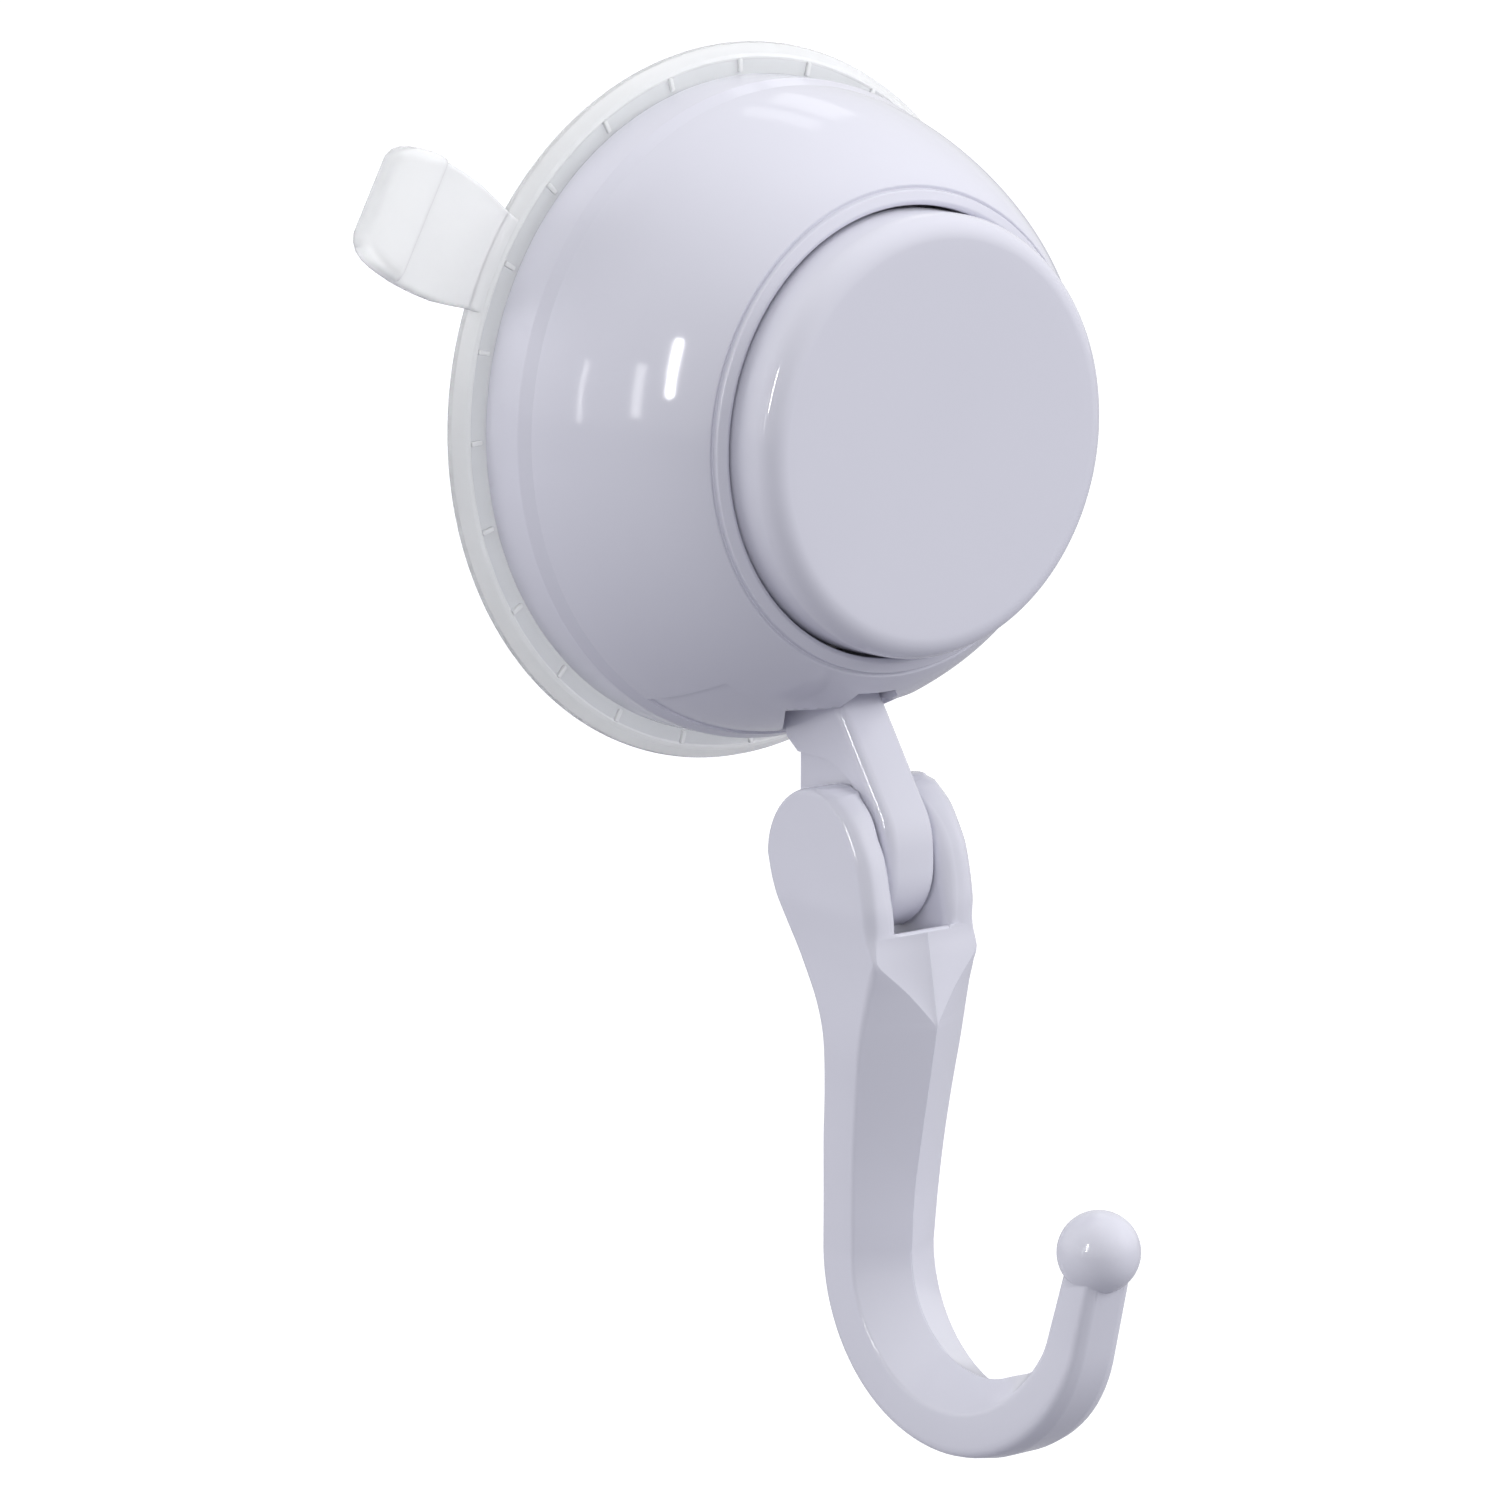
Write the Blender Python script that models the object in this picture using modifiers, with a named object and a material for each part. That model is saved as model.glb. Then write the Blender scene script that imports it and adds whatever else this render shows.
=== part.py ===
"""Push-button suction cup hook, modelled in metres.

The wall is the plane Y = 0 and the hook stands off it towards -Y, with +Z up. The origin is
the middle of the cup on the wall. "Height" below means the distance from the wall.
"""

import math

import bmesh
import bpy
from mathutils import Matrix, Vector

# Clearances
FIT_GAP = 0.0003
SIDE_PLAY = 0.0004
TRAVEL_CLEARANCE = 0.0005
BUTTON_TRAVEL = 0.0035

# Suction cup
CUP_RADIUS = 0.0300
CUP_LIP_WIDTH = 0.0045
CUP_LIP_THICKNESS = 0.0017
CUP_EDGE_THICKNESS = 0.0004
CUP_EDGE_SLOPE = 0.0013
CUP_DISH_DEPTH = 0.0040
CUP_WEB_RISE = 0.0033
CUP_POCKET_FLOOR = 0.0015
CUP_POCKET_ROOF = 0.0017
CUP_BOSS_WALL = 0.0015
RIB_COUNT = 24
RIB_START_ANGLE = math.radians(1.3)
RIB_LENGTH = 0.0009
RIB_WIDTH = 0.0005
RIB_HEIGHT = 0.0004
TAB_ANGLE = math.radians(152)
TAB_LENGTH = 0.0134
TAB_NECK_HALF_WIDTH = 0.0043
TAB_HALF_WIDTH = 0.00535
TAB_THICKNESS = 0.0013
TAB_GRIP_LENGTH = 0.0052
TAB_GRIP_THICKNESS = 0.0031
TAB_LIFT = 0.0003

# Pull stud, nut, washer and spring
STUD_FLANGE_RADIUS = 0.0052
STUD_FLANGE_THICKNESS = 0.0014
STUD_RADIUS = 0.0025
STUD_CHAMFER = 0.0004
STUD_PLAY = 0.0007
SPRING_RADIUS = 0.0060
SPRING_WIRE_RADIUS = 0.00045
SPRING_LENGTH = 0.0077
SPRING_TURNS = 5.5
SPRING_END_TURNS = 0.8
SPRING_POINTS_PER_TURN = 14
RETAINER_RADIUS = 0.0085
RETAINER_THICKNESS = 0.0015
NUT_ACROSS_FLATS = 0.0080
NUT_THICKNESS = 0.0030

# Inner frame
FRAME_BACK = 0.0062
FRAME_PLATE = 0.0020
FRAME_SKIRT_WALL = 0.0014
TURRET_PLAY = 0.0008
TURRET_WALL = 0.0015
TURRET_FLOOR = 0.0020
SPRING_RIM_HEIGHT = 0.0010
SPRING_RIM_WALL = 0.0012
FRAME_RIB_COUNT = 6
FRAME_RIB_THICKNESS = 0.0014
FRAME_RIB_DEPTH = 0.0018
FRAME_RIB_INNER = 0.0145

# Domed cover
BRIM_SHOWN = 0.00247
FLANGE_TAPER = 0.0001
FLANGE_HEIGHT = 0.0051
DOME_SIDE_HANDLE = 0.0053
DOME_SIDE_LEAN = math.radians(18)
DOME_TOP_HANDLE = 0.0040
DOME_TOP_SLOPE = math.radians(42.7)
COVER_WALL = 0.0020
WELL_WALL = 0.0015
WELL_FLOOR = 0.0016
SLEEVE_WALL = 0.0014
SLEEVE_DROP = 0.0010
BEZEL_WIDTH = 0.0014
BEZEL_CREST = 0.00035
BEZEL_GROOVE_WIDTH = 0.0002
BEZEL_GROOVE_DEPTH = 0.0004
BOSS_SINK = 0.0003
BOSS_RADIUS = 0.0026
BOSS_BORE = 0.0011
BOSS_ANGLES = (math.radians(90), math.radians(210), math.radians(330))

# Cover screws
SCREW_RADIUS = 0.0008
SCREW_HEAD_RADIUS = 0.0022
SCREW_HEAD_HEIGHT = 0.0012
SCREW_LENGTH = 0.0074

# Push button
BUTTON_RADIUS = 0.0179
BUTTON_GAP = 0.0006
BUTTON_FACE = 0.0016
BUTTON_EDGE_ROUND = 0.0021
BUTTON_SKIRT_WALL = 0.0014
BUTTON_SKIRT_OVERLAP = 0.0009
GUIDE_WALL = 0.0016
GUIDE_INSET = 0.0037
CLAW_REACH = 0.0011
CLAW_HEIGHT = 0.0017
CLAW_GAP = 0.0004
CLAW_SLIT = 0.0060
SOCKET_WALL = 0.0020
SOCKET_PLAY = 0.0017

# Arm
PIVOT_HEIGHT = 0.0179
PIVOT_BELOW_CUP = 0.0061
ARM_THICKNESS = 0.0052
ARM_END_THICKNESS = 0.0047
ARM_END_RADIUS = 0.00575
ARM_ROOT_HALF_WIDTH = 0.0060
ARM_ROOT_GAP = 0.0008
ARM_ROOT_DEPTH = 0.0042
ARM_EXIT_BACK = 0.0103
ARM_EXIT_BACK_INSET = 0.0058
ARM_EXIT_FRONT = 0.0167
ARM_EXIT_FRONT_INSET = 0.0075
ARM_HOLE_BACK = 0.0094
ARM_HOLE_FRONT = 0.0201
ARM_HOLE_ABOVE_WELL = 0.0014
ARM_RELIEF_FRONT = 0.0166
ARM_RELIEF_INSET = 0.00685
ARM_RELIEF_HALF_WIDTH = 0.0041
TRUNNION_RADIUS = 0.0015
TRUNNION_LENGTH = 0.0015

# Hook
HOOK_HALF_WIDTH = 0.0060
EAR_RADIUS = 0.0062
SLOT_WIDTH = 0.0054
SLOT_FLOOR_RADIUS = 0.0064
SLOT_FLOOR_SLOPE = math.radians(16)
BEND_DROP = 0.0323
BEND_FORWARD = 0.0144
BEND_RADIUS = 0.0110
TIP_LEAN = math.radians(16)
TIP_LENGTH = 0.0085
TIP_HALF_WIDTH = 0.0023
TIP_THICKNESS = 0.0022
BALL_RADIUS = 0.0034

# Facets of the round pieces
ROUND_STEPS = 60
SMALL_STEPS = 28

WHITE_PLASTIC = (0.79, 0.79, 0.87, 1.0)
CLEAR_PVC = (0.80, 0.81, 0.82, 1.0)
STEEL = (0.62, 0.62, 0.64, 1.0)

# Heights that follow from the stack of parts along the axis of the cup
LIP_INNER_RADIUS = CUP_RADIUS - CUP_LIP_WIDTH
POCKET_BACK = CUP_DISH_DEPTH + CUP_POCKET_FLOOR
POCKET_FRONT = POCKET_BACK + STUD_FLANGE_THICKNESS + 2 * FIT_GAP
POCKET_RADIUS = STUD_FLANGE_RADIUS + FIT_GAP
CUP_BOSS_TOP = POCKET_FRONT + CUP_POCKET_ROOF
CUP_BOSS_RADIUS = POCKET_RADIUS + CUP_BOSS_WALL
STUD_HOLE = STUD_RADIUS + FIT_GAP
TURRET_UNDERSIDE = CUP_BOSS_TOP + FIT_GAP
TURRET_TOP = TURRET_UNDERSIDE + TURRET_FLOOR
TURRET_INNER = CUP_BOSS_RADIUS + TURRET_PLAY
TURRET_OUTER = TURRET_INNER + TURRET_WALL
SPRING_BACK = TURRET_TOP + FIT_GAP
SPRING_FRONT = SPRING_BACK + SPRING_LENGTH
RETAINER_BACK = SPRING_FRONT + FIT_GAP
RETAINER_FRONT = RETAINER_BACK + RETAINER_THICKNESS
NUT_BACK = RETAINER_FRONT + FIT_GAP
NUT_FRONT = NUT_BACK + NUT_THICKNESS
STUD_END = NUT_FRONT + FIT_GAP
BUTTON_INSIDE = STUD_END + SIDE_PLAY
BUTTON_TOP = BUTTON_INSIDE + BUTTON_FACE
COVER_RIM = CUP_LIP_THICKNESS + FIT_GAP
CREASE_HEIGHT = COVER_RIM + FLANGE_HEIGHT
PLATE_FRONT = FRAME_BACK + FRAME_PLATE
GUIDE_BACK = PLATE_FRONT + BUTTON_TRAVEL + TRAVEL_CLEARANCE + FIT_GAP
CLAW_FRONT = GUIDE_BACK + CLAW_HEIGHT
SLEEVE_BACK = CLAW_FRONT + CLAW_GAP
FLOOR_BACK = SLEEVE_BACK + SLEEVE_DROP
FLOOR_FRONT = FLOOR_BACK + WELL_FLOOR
BUTTON_SKIRT_BACK = FLOOR_FRONT + BUTTON_TRAVEL + TRAVEL_CLEARANCE
BEZEL_HEIGHT = BUTTON_SKIRT_BACK + BUTTON_SKIRT_OVERLAP
DOME_TOP_HEIGHT = BEZEL_HEIGHT - BEZEL_GROOVE_DEPTH
GUIDE_RADIUS = BUTTON_RADIUS - GUIDE_INSET
SLEEVE_INNER = GUIDE_RADIUS + SIDE_PLAY
SLEEVE_OUTER = SLEEVE_INNER + SLEEVE_WALL
WELL_RADIUS = BUTTON_RADIUS + BUTTON_GAP
WELL_OUTER = WELL_RADIUS + WELL_WALL
BEZEL_CREST_RADIUS = WELL_RADIUS + BEZEL_WIDTH / 2
BEZEL_GROOVE_RADIUS = WELL_RADIUS + BEZEL_WIDTH
DOME_TOP_RADIUS = BEZEL_GROOVE_RADIUS + BEZEL_GROOVE_WIDTH
BOSS_CIRCLE = WELL_OUTER - BOSS_SINK
RIM_RADIUS = CUP_RADIUS - BRIM_SHOWN
CREASE_RADIUS = RIM_RADIUS - FLANGE_TAPER
FRAME_RADIUS = CREASE_RADIUS - COVER_WALL - 3 * FIT_GAP
SKIRT_INNER = FRAME_RADIUS - FRAME_SKIRT_WALL
BOSS_BACK = PLATE_FRONT + FIT_GAP
BOSS_FRONT = FLOOR_FRONT - SIDE_PLAY
PIVOT_DROP = CUP_RADIUS + PIVOT_BELOW_CUP
PIVOT = Vector((0, -PIVOT_HEIGHT, -PIVOT_DROP))
ARM_ROOT_TOP = SLEEVE_OUTER + ARM_ROOT_GAP

# The hook's lines, as (drop below the pivot, distance in front of the pivot)
HOOK_FRONT_LINE = (
    (-0.0063, 0.0016),
    (-0.0048, 0.0026),
    (-0.0031, 0.0044),
    (-0.0014, 0.0057),
    (0.0024, 0.0072),
    (0.0052, 0.0074),
    (0.0069, 0.0077),
    (0.0126, 0.0087),
    (0.0214, 0.0070),
    (0.0271, 0.0060),
    (BEND_DROP, 0.0057),
)
HOOK_SIDE_LINE = (
    (-0.0063, 0.0014),
    (-0.0053, 0.0024),
    (-0.0033, 0.0039),
    (-0.0007, 0.0049),
    (0.0024, 0.0060),
    (0.0049, 0.0066),
    (0.0069, 0.0071),
    (0.0099, 0.0064),
    (0.0144, 0.0054),
    (0.0187, 0.0047),
    (0.0229, 0.0041),
    (0.0274, 0.0037),
    (BEND_DROP, BEND_FORWARD - BEND_RADIUS),
)
HOOK_BACK_LINE = (
    (-0.0005, -0.0061),
    (0.0019, -0.0054),
    (0.0052, -0.0037),
    (0.0080, -0.0020),
    (0.0114, -0.0001),
    (0.0144, 0.0007),
    (0.0187, 0.0005),
    (0.0229, 0.0001),
    (BEND_DROP, -0.0005),
)
# (drop below the pivot, how far the sides have drawn in from the fork's width)
HOOK_TAPER_LINE = (
    (0.0030, 0.0),
    (0.0069, 0.00035),
    (0.0144, 0.00035),
    (0.0229, 0.00092),
    (BEND_DROP, 0.00147),
)
# (drop below the pivot, half width of the flat front, which ends in the apex of the ridge)
HOOK_FLAT_LINE = (
    (0.0024, 0.0053),
    (0.0069, 0.0054),
    (0.0128, 0.00015),
    (BEND_DROP, 0.00015),
)
HOOK_STATIONS = (
    -0.0055, -0.0046, -0.0032, -0.0010, 0.0015, 0.0040, 0.0056, 0.0069, 0.0088, 0.0108,
    0.0128, 0.0160, 0.0200, 0.0245, 0.0285,
)
BACK_CROWN = 0.0009
BACK_CROWN_HALF_WIDTH = 0.0012
RIDGE_FADE_ANGLE = math.radians(105)
BEND_STEPS = 11
BEND_END_HALF_WIDTH = 0.0025


def clear_scene():
    for obj in list(bpy.data.objects):
        bpy.data.objects.remove(obj)
    for collection in list(bpy.data.collections):
        bpy.data.collections.remove(collection)


def new_collection(name, hidden):
    collection = bpy.data.collections.new(name)
    collection.hide_render = hidden
    bpy.context.scene.collection.children.link(collection)
    return collection


def new_material(name, colour, roughness, metallic):
    material = bpy.data.materials.new(name)
    material.use_nodes = True
    shader = material.node_tree.nodes["Principled BSDF"]
    shader.inputs["Base Color"].default_value = colour
    shader.inputs["Roughness"].default_value = roughness
    shader.inputs["Metallic"].default_value = metallic
    material.diffuse_color = colour
    return material


def add_part(name, mesh, material):
    mesh.materials.append(material)
    obj = bpy.data.objects.new(name, mesh)
    parts.objects.link(obj)
    return obj


def add_cutter(name, mesh):
    obj = bpy.data.objects.new(name, mesh)
    obj.hide_render = True
    obj.display_type = "WIRE"
    cutters.objects.link(obj)
    return obj


def combine(obj, other, operation):
    """Cut OTHER from OBJ, or join it to OBJ."""
    modifier = obj.modifiers.new(other.name, "BOOLEAN")
    modifier.object = other
    modifier.operation = operation
    modifier.solver = "EXACT"


def arc(centre, radius, start, end, steps):
    """Points on a circle, both ends included."""
    points = []
    for step in range(steps + 1):
        angle = start + (end - start) * step / steps
        points.append((centre[0] + radius * math.cos(angle), centre[1] + radius * math.sin(angle)))
    return points


def bezier(first, handle_a, handle_b, last, steps):
    """Points on a cubic curve, both ends included."""
    points = []
    for step in range(steps + 1):
        t = step / steps
        s = 1 - t
        weights = (s**3, 3 * s * s * t, 3 * s * t * t, t**3)
        corners = (first, handle_a, handle_b, last)
        points.append(tuple(sum(w * c[axis] for w, c in zip(weights, corners)) for axis in (0, 1)))
    return points


def along(line, position):
    """Value of a line of (position, value) points."""
    if position <= line[0][0]:
        return line[0][1]
    for (start, low), (end, high) in zip(line, line[1:]):
        if position <= end:
            return low + (high - low) * (position - start) / (end - start)
    return line[-1][1]


def profile_mesh(name, profile):
    """Mesh of edges from a list of (radius, height), ready for a Screw modifier."""
    mesh = bpy.data.meshes.new(name)
    edges = [(index, index + 1) for index in range(len(profile) - 1)]
    if profile[0][0] > 0:
        edges.append((len(profile) - 1, 0))
    mesh.from_pydata([(radius, 0, height) for radius, height in profile], edges, [])
    return mesh


def turn(obj, steps=ROUND_STEPS):
    """Turn a profile about the axis of the cup, which runs out from the wall."""
    obj.rotation_euler = (math.radians(90), 0, 0)
    screw = obj.modifiers.new("Screw", "SCREW")
    screw.steps = steps
    screw.render_steps = steps
    screw.use_merge_vertices = True
    screw.merge_threshold = 0.00001
    screw.use_smooth_shade = True
    return obj


def turned_part(name, profile, material, steps=ROUND_STEPS):
    return turn(add_part(name, profile_mesh(name, profile), material), steps)


def turned_cutter(name, profile, steps=SMALL_STEPS):
    return turn(add_cutter(name, profile_mesh(name, profile)), steps)


def place_on_circle(obj, angle, radius):
    """Move a turned piece off the axis of the cup, by an angle from +X towards +Z."""
    obj.location = (radius * math.cos(angle), 0, radius * math.sin(angle))


def box_mesh(name, low, high):
    mesh = bpy.data.meshes.new(name)
    shape = bmesh.new()
    bmesh.ops.create_cube(shape, size=1)
    size = Vector(high) - Vector(low)
    middle = (Vector(high) + Vector(low)) / 2
    bmesh.ops.scale(shape, vec=size, verts=shape.verts)
    bmesh.ops.translate(shape, vec=middle, verts=shape.verts)
    shape.to_mesh(mesh)
    shape.free()
    return mesh


def ring_of_boxes(name, count, inner, outer, width, back, front, start_angle=0.0):
    """Equal radial bars round the axis of the cup, as one mesh.

    START_ANGLE turns the first bar from +X towards +Z.
    """
    mesh = bpy.data.meshes.new(name)
    shape = bmesh.new()
    for index in range(count):
        made = bmesh.ops.create_cube(shape, size=1)["verts"]
        bmesh.ops.scale(shape, vec=(outer - inner, front - back, width), verts=made)
        middle = ((outer + inner) / 2, -(front + back) / 2, 0)
        bmesh.ops.translate(shape, vec=middle, verts=made)
        angle = start_angle + 2 * math.pi * index / count
        spin = Matrix.Rotation(-angle, 3, "Y")
        bmesh.ops.rotate(shape, cent=(0, 0, 0), matrix=spin, verts=made)
    shape.to_mesh(mesh)
    shape.free()
    return mesh


def crossways_cylinder(name, radius, half_length, steps):
    """Solid cylinder along X, with its middle at the mesh's origin."""
    mesh = bpy.data.meshes.new(name)
    shape = bmesh.new()
    bmesh.ops.create_cone(
        shape,
        cap_ends=True,
        segments=steps,
        radius1=radius,
        radius2=radius,
        depth=2 * half_length,
        matrix=Matrix.Rotation(math.radians(90), 4, "Y"),
    )
    shape.to_mesh(mesh)
    shape.free()
    return mesh


def side_plate(name, outline, thickness):
    """Plate cut to an outline of (Y, Z) points, with its middle on X = 0."""
    curve = bpy.data.curves.new(name, "CURVE")
    curve.dimensions = "2D"
    curve.fill_mode = "BOTH"
    curve.extrude = thickness / 2
    spline = curve.splines.new("POLY")
    spline.points.add(len(outline) - 1)
    for point, (y, z) in zip(spline.points, outline):
        point.co = (y, z, 0, 1)
    spline.use_cyclic_u = True
    guide = bpy.data.objects.new(name, curve)
    bpy.context.scene.collection.objects.link(guide)
    # The curve's plane is turned so that its X runs along Y and its Y along Z.
    turn_up = Matrix(((0, 0, 1, 0), (1, 0, 0, 0), (0, 1, 0, 0), (0, 0, 0, 1)))
    mesh = mesh_of(guide)
    mesh.transform(turn_up)
    return mesh


def mesh_of(guide):
    """Closed mesh of a curve object, which is removed."""
    bpy.context.view_layer.update()
    graph = bpy.context.evaluated_depsgraph_get()
    mesh = bpy.data.meshes.new_from_object(guide.evaluated_get(graph))
    mesh.transform(guide.matrix_world)
    bpy.data.objects.remove(guide)
    shape = bmesh.new()
    shape.from_mesh(mesh)
    bmesh.ops.remove_doubles(shape, verts=shape.verts, dist=0.00001)
    bmesh.ops.recalc_face_normals(shape, faces=shape.faces)
    shape.to_mesh(mesh)
    shape.free()
    mesh.materials.clear()
    return mesh


def loft(name, rings):
    """Skin over rings of points, with both ends closed."""
    mesh = bpy.data.meshes.new(name)
    shape = bmesh.new()
    rows = [[shape.verts.new(point) for point in ring] for ring in rings]
    for row, following in zip(rows, rows[1:]):
        for index in range(len(row)):
            after = (index + 1) % len(row)
            shape.faces.new((row[index], row[after], following[after], following[index]))
    shape.faces.new(rows[0])
    shape.faces.new(rows[-1])
    bmesh.ops.recalc_face_normals(shape, faces=shape.faces)
    shape.to_mesh(mesh)
    shape.free()
    return mesh


def soften(obj, degrees=35):
    """Smooth shading, with an edge kept sharp where its faces turn by more than an angle."""
    obj.data.shade_smooth()
    obj.data.set_sharp_from_angle(angle=math.radians(degrees))


def pull_tab():
    """Tab on the brim: a thin neck that ends in a thick grip."""
    tip = CUP_RADIUS + TAB_LENGTH
    grip_start = tip - TAB_GRIP_LENGTH
    back = TAB_LIFT
    front = back + TAB_THICKNESS
    grip_front = back + TAB_GRIP_THICKNESS
    round_off = 0.0006
    rows = (
        (CUP_RADIUS - 0.0012, TAB_NECK_HALF_WIDTH, back, front, 0.0003),
        (CUP_RADIUS + 0.0010, TAB_NECK_HALF_WIDTH + 0.0003, back, front, 0.0003),
        (CUP_RADIUS + 0.0036, TAB_HALF_WIDTH - 0.00015, back, front, 0.0003),
        (grip_start - 0.0006, TAB_HALF_WIDTH, back, front, 0.0003),
        (grip_start + 0.0004, TAB_HALF_WIDTH, back, grip_front, round_off),
        (tip - 0.0020, TAB_HALF_WIDTH - 0.0004, back, grip_front + 0.0001, round_off),
        (tip - 0.0007, TAB_HALF_WIDTH - 0.0011, back + 0.0002, grip_front - 0.0002, round_off),
        (tip, TAB_HALF_WIDTH - 0.0024, back + 0.0007, grip_front - 0.0008, round_off),
    )
    outward = Vector((math.cos(TAB_ANGLE), 0, math.sin(TAB_ANGLE)))
    across = Vector((-math.sin(TAB_ANGLE), 0, math.cos(TAB_ANGLE)))
    rings = []
    for reach, half, low, high, cut in rows:
        quarter = ((half - cut, high), (half, high - cut), (half, low + cut), (half - cut, low))
        corners = list(quarter) + [(-side, level) for side, level in reversed(quarter)]
        rings.append(
            [outward * reach + across * side - Vector((0, level, 0)) for side, level in corners]
        )
    return add_cutter("pull_tab", loft("pull_tab", rings))


def make_suction_cup(material):
    lip_slope_start = CUP_RADIUS - CUP_EDGE_SLOPE
    web_outer = LIP_INNER_RADIUS - 0.0015
    web_front = CUP_LIP_THICKNESS + FIT_GAP
    web_inner = CUP_BOSS_RADIUS + 0.0010
    profile = [
        (0, POCKET_BACK),
        (POCKET_RADIUS, POCKET_BACK),
        (POCKET_RADIUS, POCKET_FRONT),
        (STUD_HOLE, POCKET_FRONT),
        (STUD_HOLE, CUP_BOSS_TOP),
        (CUP_BOSS_RADIUS, CUP_BOSS_TOP),
        (CUP_BOSS_RADIUS, web_front + CUP_WEB_RISE - 0.0001),
        (web_inner, web_front + CUP_WEB_RISE - 0.0003),
        (web_outer, web_front),
        (LIP_INNER_RADIUS - 0.0005, CUP_LIP_THICKNESS),
        (lip_slope_start, CUP_LIP_THICKNESS),
        (CUP_RADIUS, CUP_EDGE_THICKNESS),
        (CUP_RADIUS - 0.0003, 0),
        (LIP_INNER_RADIUS, 0),
    ]
    # The hollow behind the web is a shallow dish that is flat in the middle.
    dish_steps = 6
    for step in range(1, dish_steps + 1):
        share = step / dish_steps
        radius = LIP_INNER_RADIUS * (1 - share)
        profile.append((radius, CUP_DISH_DEPTH * math.sin(share * math.pi / 2)))
    cup = turned_part("suction_cup", profile, material)
    rib_outer = lip_slope_start - 0.00005
    ribs = ring_of_boxes(
        "brim_ribs",
        RIB_COUNT,
        rib_outer - RIB_LENGTH,
        rib_outer,
        RIB_WIDTH,
        CUP_LIP_THICKNESS - 0.0004,
        CUP_LIP_THICKNESS + RIB_HEIGHT,
        RIB_START_ANGLE,
    )
    combine(cup, add_cutter("brim_ribs", ribs), "UNION")
    combine(cup, pull_tab(), "UNION")
    return cup


def make_pull_stud(material):
    back = POCKET_BACK + FIT_GAP
    profile = [
        (0, STUD_END),
        (STUD_RADIUS - STUD_CHAMFER, STUD_END),
        (STUD_RADIUS, STUD_END - STUD_CHAMFER),
        (STUD_RADIUS, back + STUD_FLANGE_THICKNESS),
        (STUD_FLANGE_RADIUS, back + STUD_FLANGE_THICKNESS),
        (STUD_FLANGE_RADIUS, back),
        (0, back),
    ]
    return turned_part("pull_stud", profile, material, SMALL_STEPS)


def make_return_spring(material):
    """Compression spring with closed end turns, along the axis of the cup."""
    curve = bpy.data.curves.new("return_spring", "CURVE")
    curve.dimensions = "3D"
    curve.bevel_depth = SPRING_WIRE_RADIUS
    curve.bevel_resolution = 2
    curve.use_fill_caps = True
    count = round(SPRING_TURNS * SPRING_POINTS_PER_TURN)
    first = SPRING_BACK + SPRING_WIRE_RADIUS
    last = SPRING_FRONT - SPRING_WIRE_RADIUS
    end_rise = SPRING_END_TURNS * 2.25 * SPRING_WIRE_RADIUS
    rises = (
        (0, first),
        (SPRING_END_TURNS, first + end_rise),
        (SPRING_TURNS - SPRING_END_TURNS, last - end_rise),
        (SPRING_TURNS, last),
    )
    spline = curve.splines.new("POLY")
    spline.points.add(count)
    for index, point in enumerate(spline.points):
        turns = SPRING_TURNS * index / count
        angle = 2 * math.pi * turns
        height = along(rises, turns)
        x = SPRING_RADIUS * math.cos(angle)
        z = SPRING_RADIUS * math.sin(angle)
        point.co = (x, -height, z, 1)
    spline.use_smooth = True
    curve.materials.append(material)
    spring = bpy.data.objects.new("return_spring", curve)
    parts.objects.link(spring)
    return spring


def make_spring_retainer(material):
    """Washer with a shallow collar that keeps the spring central."""
    collar_radius = SPRING_RADIUS - SPRING_WIRE_RADIUS - FIT_GAP
    collar_back = RETAINER_BACK - 0.0009
    profile = [
        (STUD_HOLE, RETAINER_FRONT),
        (RETAINER_RADIUS - 0.0003, RETAINER_FRONT),
        (RETAINER_RADIUS, RETAINER_FRONT - 0.0003),
        (RETAINER_RADIUS, RETAINER_BACK),
        (collar_radius, RETAINER_BACK),
        (collar_radius - 0.0003, collar_back),
        (STUD_HOLE, collar_back),
    ]
    return turned_part("spring_retainer", profile, material, SMALL_STEPS)


def make_stud_nut(material):
    corner = NUT_ACROSS_FLATS / math.sqrt(3)
    profile = [
        (0, NUT_FRONT),
        (corner, NUT_FRONT),
        (corner, NUT_BACK),
        (0, NUT_BACK),
    ]
    nut = turned_part("stud_nut", profile, material, 6)
    bore = [
        (0, NUT_FRONT + 0.001),
        (STUD_HOLE, NUT_FRONT + 0.001),
        (STUD_HOLE, NUT_BACK - 0.001),
        (0, NUT_BACK - 0.001),
    ]
    combine(nut, turned_cutter("nut_bore", bore, 20), "DIFFERENCE")
    return nut


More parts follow.
